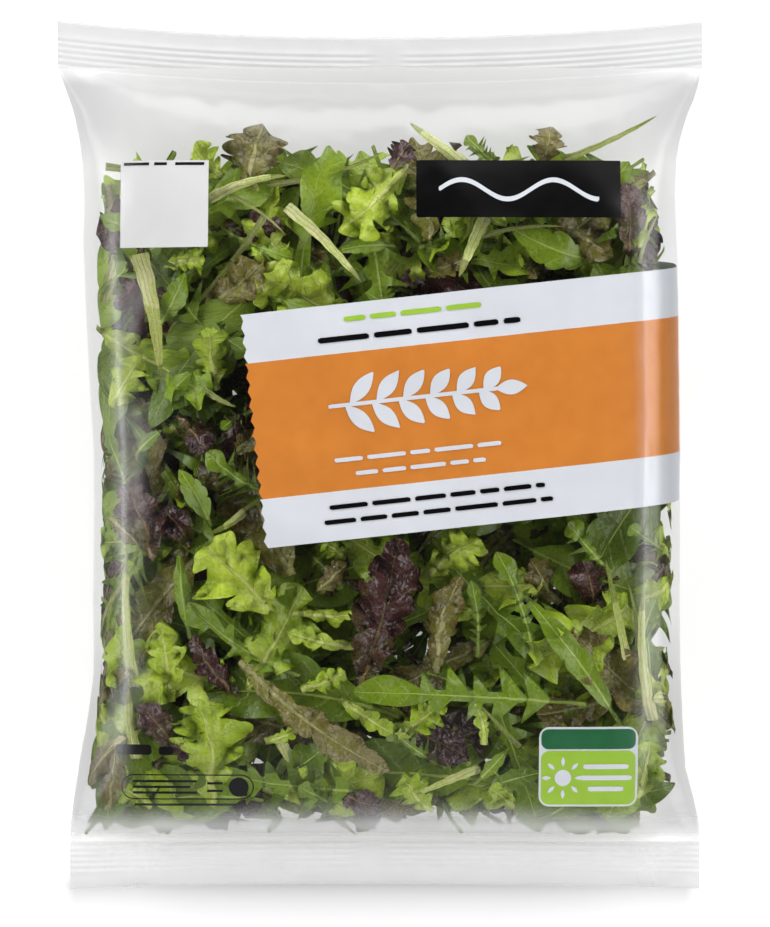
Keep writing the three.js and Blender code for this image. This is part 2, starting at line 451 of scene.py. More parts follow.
# painted sheen: the white above the lower seal
milk += PAINTED_BOTTOM_SHEEN * step_up(-y, *PAINTED_BOTTOM_SHEEN_RANGE) * in_pocket
points += outward * lift[:, None]
for side, (heights, nudges) in SIDE_NUDGES.items():
    points[:, 0] += np.interp(y, heights, nudges) * step_up(side * x, *NUDGED) * in_pocket
points[:, 2] = np.maximum(points[:, 2], 0)
move_points(film_mesh, points)
mottle = MEAN_MILK + UNEVEN_MILK * crinkle(x, y, 8, CRINKLES, *MILK_LENGTHS)
keep_number(film_mesh, "milk", milk * mottle)
grey = strongest(GREY_AND_SHADE_AREAS, x, y) * in_pocket + SEAL_GREY * step_up(y, *at_seal)
keep_number(film_mesh, "grey", grey)
keep_number(film_mesh, "shine", 1 - strongest(DULL_AREAS, x, y) * in_pocket)
film_mesh.shade_smooth()
print("film in mm", np.round(points.min(0), 1), np.round(points.max(0), 1))

# %% [markdown]
# Thin clear film is not glass: it has no inside, so it does not bend what is seen
# through it. A Transparent shader shows the leaves as they are, and a share of Glossy
# that grows towards edge-on gives the shine. That share is worked out from the facing
# value, which is the same from both sides: a Fresnel node would take the inside for
# solid glass and keep the light in. A welded seal and a sharp fold turn milky, so a
# share of a plain white shader is mixed in where the attribute made above says so;
# above the lower seal and along the side folds that white is a painted sheen. Where
# the film is grey it lets less through, which is partly painted shade.

# %% Film finish
CLEAR_TINT = (0.965, 0.965, 0.965)  # what one layer lets through
GREY_TINT = (0.78, 0.78, 0.785)
LEAST_SHINE = 0.036  # seen square on
EDGE_SHINE = 0.9  # added to it edge-on
SHINE_POWER = 5.0
MILK_WHITE = (0.86, 0.86, 0.865, 1)


def film_finish():
    """Clear film: see-through with some shine, with a share of white for milky film and painted sheen, and
    darker where grey.
    """
    material, tree, white = start_material("clear_film")
    edge_on = add_node(tree, "ShaderNodeLayerWeight", Blend=0.5).outputs["Facing"]
    shine = math_node(tree, "POWER", edge_on, SHINE_POWER)
    shine = math_node(tree, "MULTIPLY_ADD", shine, EDGE_SHINE, LEAST_SHINE)
    shine = math_node(tree, "MULTIPLY", shine, read_number(tree, "shine"))
    # less is let through where the grey attribute says: partly gathered film, partly painted shade
    tint = blend_node(tree, read_number(tree, "grey"), CLEAR_TINT, GREY_TINT)
    clear = add_node(tree, "ShaderNodeBsdfTransparent", Color=tint)
    gloss = add_node(tree, "ShaderNodeBsdfGlossy", Color=(1, 1, 1, 1), Roughness=0.12)
    skin = add_node(tree, "ShaderNodeMixShader", _0=shine, _1=clear.outputs[0], _2=gloss.outputs[0])
    white.inputs["Base Color"].default_value = MILK_WHITE
    white.inputs["Roughness"].default_value = 0.35
    # white share: milky seals and folds, plus painted sheen above the lower seal and on the side folds
    whole = add_node(tree, "ShaderNodeMixShader", _0=read_number(tree, "milk"), _1=skin.outputs[0],
                     _2=white.outputs[0])
    tree.links.new(whole.outputs[0], tree.nodes["Material Output"].inputs["Surface"])
    return material


def place_piece(mesh, material):
    """Puts a finished mesh in the scene as a piece that rides on the bag."""
    mesh.materials.append(material)
    piece = bpy.data.objects.new(mesh.name, mesh)
    scene.collection.objects.link(piece)
    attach(piece, "root")
    print(piece.name, "faces", len(mesh.polygons))
    return piece


film = place_piece(film_mesh, film_finish())
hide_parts("salad_bag")

# %% [markdown]
# Print and leaves have to lie against the film, so its height is measured once. A ray
# straight down at every point of a grid finds the front sheet, and one straight up finds
# the back sheet. Between the grid's points the height is a plain average.

# %% Measure the film
GRID_STEP = 1.0
GRID_X = np.arange(-100, 100.5, GRID_STEP)
GRID_Y = np.arange(-134, 134.5, GRID_STEP)
FAR = 200
EDGE_BETWEEN = (70.0, 101.0)  # no row of the bag is narrower or wider than this
EDGE_STEP = 0.05
film_skin = BVHTree.FromPolygons((points * MM).tolist(), [tuple(p.vertices) for p in film_mesh.polygons])


def probe(x, y, way):
    """Where a line down (way -1) or up (way 1) meets the film, or None."""
    return film_skin.ray_cast(Vector((x, y, -way * FAR)) * MM, Vector((0, 0, way)))[0]


def height_grid(way):
    """Heights of the front sheet (way -1) or the back one; past the sides the last height goes on."""
    rows = []
    for gy in GRID_Y:
        hits = [probe(gx, gy, way) for gx in GRID_X]
        heights = np.array([np.nan if hit is None else hit.z / MM for hit in hits])
        known = ~np.isnan(heights)
        rows.append(np.interp(GRID_X, GRID_X[known], heights[known]))
    return np.array(rows)


def edge_grid(side):
    """Half width of the bag at each row of the grid, found by halving the step to the edge."""
    found = []
    for gy in GRID_Y:
        inside, outside = EDGE_BETWEEN
        while outside - inside > EDGE_STEP:
            middle = (inside + outside) / 2
            hit = probe(side * middle, gy, -1)
            inside, outside = (middle, outside) if hit is not None else (inside, middle)
        found.append(inside)
    return np.array(found)


FRONT_GRID = height_grid(-1)
BACK_GRID = height_grid(1)
EDGE_GRID = {-1: edge_grid(-1), 1: edge_grid(1)}


def read_grid(grid, x, y):
    """The grid's value at any places, averaged between its points."""
    column = np.clip((x - GRID_X[0]) / GRID_STEP, 0, len(GRID_X) - 1.001)
    row = np.clip((y - GRID_Y[0]) / GRID_STEP, 0, len(GRID_Y) - 1.001)
    i, j = column.astype(int), row.astype(int)
    s, t = column - i, row - j
    return ((grid[j, i] * (1 - s) + grid[j, i + 1] * s) * (1 - t)
            + (grid[j + 1, i] * (1 - s) + grid[j + 1, i + 1] * s) * t)


def half_width(x, y):
    """How far the side of the bag is from the middle line, on the side where x is."""
    right = np.interp(y, GRID_Y, EDGE_GRID[1])
    left = np.interp(y, GRID_Y, EDGE_GRID[-1])
    return np.where(x > 0, right, left)


print("thickest in mm", round(float((FRONT_GRID - BACK_GRID).max()), 1))

# %% [markdown]
# A leaf, and a patch of print too, starts as a flat outline that is filled with even
# triangles. Blender's constrained Delaunay routine does that from any closed outline, so
# lobes and teeth come out sharp while the blade inside stays coarse. A grid of rows and
# columns would need far more faces for the same edge.

# %% Cut a flat shape


def even_loop(loop, spacing):
    """The same closed outline with its points an equal way apart."""
    closed = np.vstack([loop, loop[:1]])
    arc = np.concatenate([[0], np.cumsum(np.hypot(*np.diff(closed, axis=0).T))])
    wanted = np.linspace(0, arc[-1], max(8, round(arc[-1] / spacing)), endpoint=False)
    return np.column_stack([np.interp(wanted, arc, closed[:, 0]), np.interp(wanted, arc, closed[:, 1])])


def from_edge(places, loop):
    """Each place's distance to the outline, and how far round the outline its nearest point is."""
    start, end = loop, np.roll(loop, -1, axis=0)
    run = end - start
    length = np.maximum(np.hypot(*run.T), 1e-9)
    offset = places[:, None, :] - start[None]
    share = np.clip((offset * run[None]).sum(2) / length**2, 0, 1)
    gap = np.hypot(*(offset - share[..., None] * run[None]).transpose(2, 0, 1))
    nearest = gap.argmin(1)
    rows = np.arange(len(places))
    arc = np.concatenate([[0], np.cumsum(length)])[nearest] + share[rows, nearest] * length[nearest]
    return gap[rows, nearest], arc


def is_inside(places, loop):
    """True where a line to the right of the place crosses the outline an odd number of times."""
    start, end = loop, np.roll(loop, -1, axis=0)
    px, py = places[:, :1], places[:, 1:]
    spans = (start[:, 1] > py) != (end[:, 1] > py)
    rise = np.where(end[:, 1] == start[:, 1], 1e-9, end[:, 1] - start[:, 1])
    cross = start[:, 0] + (py - start[:, 1]) / rise * (end[:, 0] - start[:, 0])
    return (spans & (px < cross)).sum(1) % 2 == 1


def cut_flat(loop, spacing):
    """Points, triangles, distance from the edge and place round it, for an outline."""
    low, high = loop.min(0), loop.max(0)
    rows = np.arange(low[1] + spacing / 2, high[1], spacing * math.sqrt(3) / 2)
    grid = [np.empty((0, 2))]
    for i, row in enumerate(rows):
        places = np.arange(low[0] + (i % 2) * spacing / 2, high[0], spacing)
        grid.append(np.column_stack([places, np.full(len(places), row)]))
    grid = np.vstack(grid)
    if len(grid):
        grid = grid[is_inside(grid, loop)]
    if len(grid):
        grid = grid[from_edge(grid, loop)[0] > 0.55 * spacing]
    given = [Vector(p) for p in np.vstack([loop, grid]).tolist()]
    verts, _, triangles, *_ = delaunay_2d_cdt(given, [], [list(range(len(loop)))], 1, 1e-4)
    flat = np.array([tuple(v) for v in verts])
    triangles = np.array(triangles)
    used = np.unique(triangles)
    renumber = np.full(len(flat), -1)
    renumber[used] = np.arange(len(used))
    flat, triangles = flat[used], renumber[triangles]
    distance, arc = from_edge(flat, loop)
    return flat, triangles, distance, arc


# %% [markdown]
# Every leaf is a thin solid: a top and an under side that meet at the margin. The under
# side is the top moved along its own normals, by more where a rib runs. Meshes are put
# together as plain arrays and turned into Blender meshes once, because thousands of
# small objects would be slow.

# %% Make a thin solid and join many
MARGIN = 1e-3  # closer to the outline than this is on it


def point_normals(points, triangles):
    """The mean direction of the faces round each point, larger faces counting more."""
    a, b, c = (points[triangles[:, i]] for i in range(3))
    face = np.cross(b - a, c - a)
    total = np.zeros_like(points)
    for i in range(3):
        np.add.at(total, triangles[:, i], face)
    return total / np.maximum(np.linalg.norm(total, axis=1, keepdims=True), 1e-9)


def thicken(points, triangles, distance, thickness):
    """Adds an under side. Returns points, triangles and, for each point, the top point it came from."""
    rim = distance < MARGIN
    inner = np.flatnonzero(~rim)
    under = points[inner] - point_normals(points, triangles)[inner] * thickness[inner, None]
    below = np.arange(len(points))
    below[inner] = len(points) + np.arange(len(inner))
    solid = np.vstack([triangles, below[triangles][:, ::-1]])
    same = (solid[:, 0] == solid[:, 1]) | (solid[:, 1] == solid[:, 2]) | (solid[:, 0] == solid[:, 2])
    return np.vstack([points, under]), solid[~same], np.concatenate([np.arange(len(points)), inner])


def join_parts(parts):
    """Points, triangles and rim marks of many parts as one set."""
    starts = np.cumsum([0] + [len(part[0]) for part in parts[:-1]])
    return (np.vstack([part[0] for part in parts]),
            np.vstack([part[1] + start for part, start in zip(parts, starts)]),
            np.concatenate([part[2] for part in parts]))


def mesh_of(name, points, triangles, rims=None, numbers=None):
    """A Blender mesh from arrays in millimetres; edges between two rim points stay sharp."""
    mesh = bpy.data.meshes.new(name)
    mesh.from_pydata((points * MM).tolist(), [], triangles.tolist())
    mesh.shade_smooth()
    if rims is not None:
        ends = np.empty(len(mesh.edges) * 2, np.int32)
        mesh.edges.foreach_get("vertices", ends)
        sharp = rims[ends.reshape(-1, 2)].all(1)
        mesh.attributes.new("sharp_edge", "BOOLEAN", "EDGE").data.foreach_set("value", sharp)
    for key, values in (numbers or {}).items():
        keep_number(mesh, key, values)
    return mesh


# %% [markdown]
# The mix has rocket, green lettuce and red lettuce, with some leaves between green and
# red and loose pale ribs. Each kind has its own margin, as half a width at stations from
# the stalk to the tip. Stations are then pushed towards the tip by a share of that half
# width, which leans every lobe forward as on the real leaf.

# %% Margins of the leaves
STATIONS = np.linspace(0, 1, 600)


def hump(centre, reach, power=1.0):
    """1 at the centre station and 0 from one reach away."""
    return np.clip(1 - np.abs((STATIONS - centre) / reach), 0, 1) ** power


def teeth(rng, length, pitch, height):
    """Uneven forward teeth along a margin."""
    place = STATIONS * length / pitch + rng.uniform(0, 1) + 0.35 * np.sin(STATIONS * 17 + rng.uniform(0, 6))
    uneven = 0.6 + 0.4 * np.sin(STATIONS * 23 + rng.uniform(0, 6))
    return height * uneven * (place % 1) ** 0.8


def oval(start, fullest, power=0.8):
    """0 at start and at the tip, and 1 at the fullest station."""
    share = np.clip((STATIONS - start) / (1 - start), 0, 1)
    bend = math.log(0.5) / math.log((fullest - start) / (1 - start))
    return np.sin(math.pi * share**bend) ** power


def lobed(rng, count, depth, start=0.12):
    """1 at the tops of the round lobes of a margin, and less by depth in the gaps between."""
    bounds = start + (1.02 - start) * (np.arange(count + 1) + rng.uniform(-0.22, 0.22, count + 1)) / count
    bounds[0] = start - 0.08
    bounds[-1] = 1.05
    rise = np.zeros_like(STATIONS)
    for low, high in zip(bounds, bounds[1:]):
        inside = np.clip((STATIONS - low) / (high - low), 0, 1)
        rise = np.maximum(rise, rng.uniform(0.7, 1.0) * np.sin(math.pi * inside) ** 0.55)
    return 1 - depth * (1 - rise)


def rocket_margin(rng, half, length):
    """A stalk, a narrow blade with pointed lobes, and a long end lobe."""
    stalk = 0.7 * (1 - STATIONS)
    blade = 0.2 * half * step_up(STATIONS, 0.14, 0.4) * (1 - STATIONS) ** 0.3
    lobes = np.zeros_like(STATIONS)
    last = rng.uniform(0.6, 0.76)
    centres = np.linspace(0.2, last, rng.integers(3, 6))
    for centre in centres + rng.uniform(-0.025, 0.025, len(centres)):
        lobe = hump(centre, rng.uniform(0.036, 0.055), 0.85)
        lobes = np.maximum(lobes, half * rng.uniform(0.6, 1.08) * lobe)
    end = half * rng.uniform(0.38, 0.62) * oval(last, 0.5 + last / 2)
    end = end + teeth(rng, length, 9, 1.6) * (end > 0.8) * (1 - STATIONS)
    return np.maximum.reduce([stalk, blade, lobes, end])


def plain_margin(rng, half, length):
    """A young leaf with few lobes: a stalk and a long oval with low teeth."""
    stalk = 0.8 * (1 - STATIONS)
    blade = half * oval(0.12, 0.5, 0.9) * lobed(rng, 4, 0.3)
    blade = blade + teeth(rng, length, 11, 1.0) * (blade > 1.2) * (1 - STATIONS)
    return np.maximum(stalk, blade)


def lettuce_margin(start, fullest, power, gaps, pitch, tooth):
    """Margins of one kind of lettuce: widest at fullest, cut into lobes with small teeth."""
    def margin(rng, half, length):
        rib = 1.2 * (1 - 0.5 * STATIONS)
        blade = half * oval(start, rng.uniform(*fullest), power) * lobed(rng, rng.integers(3, 6), gaps)
        blade = blade + teeth(rng, length, pitch, tooth) * np.clip(blade / 4, 0, 1)
        return np.maximum(rib * (1 - STATIONS**8), blade * (1 - STATIONS**30))
    return margin


frilly_margin = lettuce_margin(0.02, (0.55, 0.68), 0.6, 0.7, 5.2, 2.1)
red_margin = lettuce_margin(0.0, (0.5, 0.68), 0.62, 0.5, 5.0, 1.9)


def rib_margin(rng, half, length):
    """A loose rib: a long wedge, cut off straight at its wide end."""
    wedge = half * (1 - 0.62 * STATIONS) * (1 - STATIONS**12)
    return wedge * (1 + 0.07 * np.sin(STATIONS * 30 + rng.uniform(0, 6)))


# %% [markdown]
# Nothing in a salad bag is flat. The cut leaf is lifted along its midrib like the keel of
# a boat, its margin is ruffled, the blade swells between the side veins, and then the
# whole leaf is twisted and bent along its length. How much of each is a habit of the
# kind, and a leaf that the film presses flat gets only part of it.

# %% Habits of the leaves
HABITS = {
    # lean of the lobes, then millimetres: thickness, rib thickness, rib half width, ruffle
    # height, ruffle length, how deep the ruffle goes in, swelling, vein pitch; last, pleats
    "rocket": (rocket_margin, 0.85, 0.35, 0.5, 0.8, 1.1, 13.0, 5.0, 0.3, 7.0, 0.2),
    "plain": (plain_margin, 0.40, 0.35, 0.5, 0.9, 0.9, 17.0, 5.0, 0.3, 6.0, 0.14),
    "frilly": (frilly_margin, 0.60, 0.40, 0.9, 1.3, 3.6, 9.5, 6.5, 1.2, 5.5, 0.55),
    "red": (red_margin, 0.50, 0.45, 1.0, 1.3, 3.2, 9.5, 6.0, 1.5, 5.0, 0.58),
    "bronze": (red_margin, 0.45, 0.45, 1.4, 1.7, 2.8, 11.0, 6.0, 1.3, 6.0, 0.5),
    "rib": (rib_margin, 0.0, 0.30, 1.3, 4.0, 0.0, 10.0, 3.0, 0.0, 6.0, 0.0),
}
VEIN_SLOPE = 0.9  # how fast side veins run forward as they go out
KEEL = (-0.6, 0.8)  # slope of the two halves of a loose leaf up from its midrib
PRESSED_KEEL = 0.14
PLEATS = (13, 19)  # millimetres from one pleat to the next
CUP = (-0.5, 0.6)
UNEVEN = 0.35  # millimetres, of gentle waves all over the blade
TWIST = 1.1  # radians from stalk to tip, at most
BEND = 1.4  # radians, of a loose leaf
PRESSED_BEND = 0.2
LEAST_BEND = 0.05
SWAY = 0.3  # sideways, as a share of its length


def make_leaf(habit, length, width, seed, spacing, press=0.0):
    """One leaf along +X from its stalk: points, triangles, rim marks and the numbers its skin reads."""
    rng = np.random.default_rng(seed)
    (margin, lean, thin, rib_thick, rib_half, ruffle, ruffle_length, ruffle_in, swell, pitch,
     pleat) = HABITS[habit]
    half = width / 2
    sides = []
    for sign in (-1, 1):
        out = margin(rng, half, length)
        along = STATIONS * length + lean * out * (1 - STATIONS)
        sides.append(np.column_stack([along, sign * out]))
    loop = even_loop(np.vstack([sides[0], sides[1][::-1]]), max(0.7, spacing * 0.55))
    flat, triangles, distance, arc = cut_flat(loop, spacing)
    along, across = flat.T
    share = np.clip(along / length, 0, 1)
    loose = 1 - press

    keel = rng.uniform(*KEEL) * loose + PRESSED_KEEL
    lift = keel * np.abs(across) * (1 - 0.3 * share)
    wave = arc / ruffle_length * 2 * math.pi + 1.4 * np.sin(arc / ruffle_length + rng.uniform(0, 6))
    frill = np.exp(-((distance / ruffle_in) ** 2)) * np.clip(half / 8, 0.2, 1)
    lift += ruffle * (0.55 + 0.45 * loose) * frill * np.sin(wave + rng.uniform(0, 6))
    vein = (along - VEIN_SLOPE * np.abs(across)) / pitch
    between = 0.5 - 0.5 * np.cos(2 * math.pi * vein)
    lift += swell * between * np.clip(distance / 3, 0, 1) * np.clip(np.abs(across) / 3, 0, 1)
    side_turn = np.where(across > 0, rng.uniform(0, 6), rng.uniform(0, 6))
    lift += pleat * np.abs(across) * np.sin(2 * math.pi * vein * pitch / rng.uniform(*PLEATS) + side_turn)
    cup = rng.uniform(*CUP) * loose
    lift += cup * across**2 / np.maximum(half, 3)
    lift += UNEVEN * crinkle(along, across, seed + 1, 6, 9, 24)

    twist = rng.uniform(-TWIST, TWIST) * loose * (share - 0.5)
    turned = across * np.cos(twist) - lift * np.sin(twist)
    lift = across * np.sin(twist) + lift * np.cos(twist)
    bend = rng.uniform(-BEND, BEND) * loose + rng.uniform(-PRESSED_BEND, PRESSED_BEND)
    radius = length / (bend if abs(bend) > LEAST_BEND else LEAST_BEND)
    angle = (share - 0.5) * length / radius
    run = radius * np.sin(angle) - lift * np.sin(angle)
    rise = radius * (1 - np.cos(angle)) + lift * np.cos(angle)
    sway = rng.uniform(-SWAY, SWAY) * (share - 0.5) ** 2 * length
    shaped = np.column_stack([run, turned + sway, rise - np.median(rise)])

    rib = np.exp(-((across / rib_half) ** 2)) * (1 - 0.8 * share)
    thickness = thin + rib_thick * rib * np.clip(distance / 1.5, 0, 1)
    solid, faces, origin = thicken(shaped, triangles, distance, thickness)
    place = np.column_stack([along, across, distance])[origin]
    rims = (distance < MARGIN)[origin]
    return solid, faces, rims, place, share[origin]


trial = make_leaf("frilly", 50, 30, 1, 2.0)
print("a trial lettuce leaf has", len(trial[1]), "faces")

# %% [markdown]
# The leaves that show at the front were placed from the photograph: the stalk
# end, the tip and the width of each, how many leaves lie over it, and a tint from dark
# to light. What the camera can't see is left to a scatter in the next step.

# %% Leaves that show
SHOWN_LEAVES = {  # x and y of the stalk end, x and y of the tip, width, level, tint
    "rocket": (
        (64, -76, -9, -72, 20.7, 0, 0.5), (49, -63, 37, -29, 12.2, 1, 0.4),
        (71, -37, 57, -21, 12.8, 1, 0.45), (88, -30, 76, -22, 9.1, 1, 0.5),
        (-25, -71, -61, -47, 16.5, 2, 0.5), (-35, -13, -54, 0, 15.2, 1, 0.4),
        (-39, 14, -49, 8, 6.7, 2, 0.5), (-77, -13, -84, 7, 11.0, 2, 0.2), (31, -63, 29, -38, 7.9, 2, 0.15),
        (-51, 70, -27, 59, 7.9, 3, 0.4), (37, 88, 26, 98, 9.1, 2, 0.3), (9, 62, 27, 70, 9.8, 3, 0.2),
        (10, 49, -12, 59, 10.4, 4, 0.2), (-12, -110, -25, -102, 11.6, 3, 0.35),
        (64, -105, 55, -87, 12.2, 3, 0.35), (55, -109, 70, -101, 10.4, 3, 0.4),
        (-24, -28, -11, -41, 9.1, 4, 0.3), (-58, 44, -40, 30, 12.0, 3, 0.35),
        (-44, 52, -20, 44, 12.0, 3, 0.3), (70, -12, 84, 2, 12.0, 4, 0.3), (20, -98, 2, -84, 12.0, 3, 0.35),
    ),
    "plain": (
        (76, -84, 44, -41, 8.2, 1, 0.5), (69, 57, 39, 68, 12.2, 2, 0.35), (-51, -22, -61, -4, 7.9, 1, 0.55),
        (-68, 38, -59, 56, 7.9, 2, 0.1), (-76, 69, -87, 74, 6.1, 2, 0.4), (67, 78, 77, 90, 11.0, 3, 0.5),
        (5, 65, -14, 63, 4.9, 2, 0.4), (-67, 15, -58, 26, 6.7, 2, 0.7), (-76, 0, -67, 8, 4.0, 2, 0.05),
        (-59, -57, -62, -29, 5.5, 2, 0.45), (-35, -104, -15, -89, 14.6, 4, 0.1),
        (84, -72, 82, -56, 8.2, 3, 0.2), (29, -102, 40, -90, 4.3, 1, 0.6), (31, -103, 51, -97, 6.7, 2, 0.1),
        (80, -57, 85, -43, 6.1, 2, 0.35),
    ),
    "frilly": (
        (-31, -49, -54, -27, 25.9, 1, 0.95), (-51, -111, -53, -75, 28.0, 3, 0.5),
        (-64, -77, -67, -51, 12.2, 2, 0.6), (10, 89, -12, 67, 21.0, 2, 0.5),
        (-48, 84, -58, 94, 13.7, 3, 0.8), (-67, 59, -53, 60, 7.3, 2, 0.6),
        (-84, 13, -74, 30, 12.8, 2, 0.75), (-50, 19, -53, 39, 12.8, 2, 0.45),
        (-36, -89, -25, -85, 4.9, 2, 0.5), (-29, -49, -7, -50, 5.0, 3, 0.75),
        (-7, -60, -29, -55, 5.8, 2, 0.65), (-25, -73, -10, -67, 7.3, 2, 0.5),
        (-13, -75, 4, -86, 6.7, 2, 0.45), (13, -37, 31, -25, 14.6, 2, 0.7), (33, -90, 30, -76, 4.9, 1, 0.6),
        (79, -108, 84, -88, 12.8, 2, 0.6), (4, -88, 20, -76, 11.6, 2, 0.5),
        (16, -111, 6, -99, 12.8, 3, 0.45), (43, -110, 33, -102, 9.8, 3, 0.5),
        (-10, -32, -18, -26, 7.3, 2, 0.55), (-70, -109, -80, -102, 10.4, 3, 0.55),
    ),
    "red": (
        (-5, -73, 7, -24, 18.9, 1, 0.5), (-69, -33, -77, -8, 14.0, 1, 0.45), (3, 87, 9, 96, 8.5, 1, 0.3),
        (-53, 71, -29, 71, 9.1, 4, 0.2), (77, 57, 77, 84, 10.5, 2, 0.45), (-63, 13, -52, 1, 11.0, 3, 0.1),
        (-57, -29, -66, -16, 11.0, 2, 0.15), (-42, -79, -59, -56, 7.9, 3, 0.5),
        (-62, -91, -74, -76, 11.0, 2, 0.7), (-56, -98, -63, -87, 7.3, 3, 0.2),
        (67, -50, 63, -32, 13.4, 3, 0.6), (84, -39, 88, -33, 2.7, 2, 0.3), (5, -83, 28, -93, 14.0, 4, 0.15),
        (-15, -105, 1, -109, 8.5, 3, 0.4),
    ),
    "bronze": (
        (-45, -65, 2, -100, 10.4, 1, 0.75), (15, -67, 23, -36, 10.4, 2, 0.6),
        (-55, 44, -34, 59, 15.2, 3, 0.5), (50, 89, 53, 101, 10.4, 2, 0.6), (12, 55, 28, 60, 7.3, 3, 0.5),
        (55, 71, 71, 60, 11.6, 3, 0.35), (-46, -1, -37, 7, 7.3, 2, 0.3), (-85, -18, -74, -27, 6.7, 2, 0.4),
        (74, -75, 48, -81, 12.8, 4, 0.3), (-84, -111, -81, -92, 7.9, 2, 0.6),
        (-79, -86, -93, -102, 7.0, 1, 0.5), (-21, -44, -10, -33, 7.9, 3, 0.5),
        (55, -47, 46, -32, 9.1, 4, 0.4), (-40, 80, -38, 102, 21.0, 2, 0.12),
    ),
    "rib": (
        (-28, 77, -5, 53, 3.9, 1, 1.0), (-53, 80, -29, 87, 3.6, 1, 0.75), (-35, 81, 2, 91, 2.2, 2, 0.05),
        (-46, 81, -28, 68, 1.4, 1, 0.6), (-73, 62, -66, 24, 6.0, 1, -0.2), (26, 89, 9, 102, 4.2, 1, 0.7),
        (57, 90, 86, 104, 2.3, 1, 0.8), (79, 59, 85, 74, 1.4, 1, 0.8), (32, 73, 24, 54, 4.5, 1, 0.6),
        (31, 68, 56, 71, 1.7, 1, 0.5), (-55, 20, -44, 14, 2.3, 1, 0.7), (-41, -18, -52, -25, 2.9, 1, 0.5),
        (-77, -72, -79, -28, 3.9, 1, 0.5), (-76, -94, -78, -72, 4.5, 2, 0.35),
        (76, -63, 69, -32, 2.9, 1, 0.5), (82, -82, 79, -39, 3.9, 1, 0.75), (80, -63, 77, -39, 1.7, 1, 0.7),
        (88, -75, 84, -75, 5.8, 2, 1.0), (43, -90, 28, -74, 1.7, 1, 0.6), (31, -96, 10, -105, 3.2, 1, 0.7),
    ),
}
BED_DEPTH = 44  # of the bed of leaves before it is fitted to the bag
LEVEL_DEPTH = 2.2
STALK_SINK = 3.0  # the stalk end lies deeper than the tip, under its neighbours
TOP_CLEARANCE = 1.6
SHOWN_SPACING = 1.25
TOP_LIGHTER = 0.42  # leaves near the top of the bag are lighter by this much tint
TOP_RANGE = (20, 50)


def lay_leaf(habit, row, seed):
    """A shown leaf in its place on the bed; heights are from the bottom of the bed."""
    x0, y0, x1, y1, width, level, tint = row
    length = math.hypot(x1 - x0, y1 - y0)
    solid, faces, rims, place, share = make_leaf(habit, length, width, seed, SHOWN_SPACING,
                                                 press=0.52 - 0.07 * level)
    if seed % 2:
        solid[:, 2] *= -1
        faces = faces[:, ::-1]
    turn = math.atan2(y1 - y0, x1 - x0)
    x = (x0 + x1) / 2 + solid[:, 0] * math.cos(turn) - solid[:, 1] * math.sin(turn)
    y = (y0 + y1) / 2 + solid[:, 0] * math.sin(turn) + solid[:, 1] * math.cos(turn)
    z = BED_DEPTH - TOP_CLEARANCE - level * LEVEL_DEPTH + solid[:, 2]
    z -= STALK_SINK * (1 + 0.5 * level) * np.clip(1 - share, 0, 1) ** 1.5
    tint = tint + TOP_LIGHTER * step_up(y, *TOP_RANGE)
    numbers = {"leaf_place": place, "leaf_share": share, "leaf_tint": tint}
    return np.column_stack([x, y, z]), faces, rims, numbers


# %% [markdown]
# The rest of the leaves are a heap with no order, which is what Geometry Nodes is for.
# Flat sheets are stacked, points are scattered on them a leaf's width apart, and each
# point gets one leaf from a small collection of shapes, turned, tilted and sized at
# random. The number and tint of each leaf are stored before the instances are realized.

# %% Scatter tree


def group_input(tree, name, kind, value=None):
    """A named input of a node group; returns the identifier that a modifier knows it by."""
    socket = tree.interface.new_socket(name, in_out="INPUT", socket_type=kind)
    if value is not None:
        socket.default_value = value
    return socket.identifier


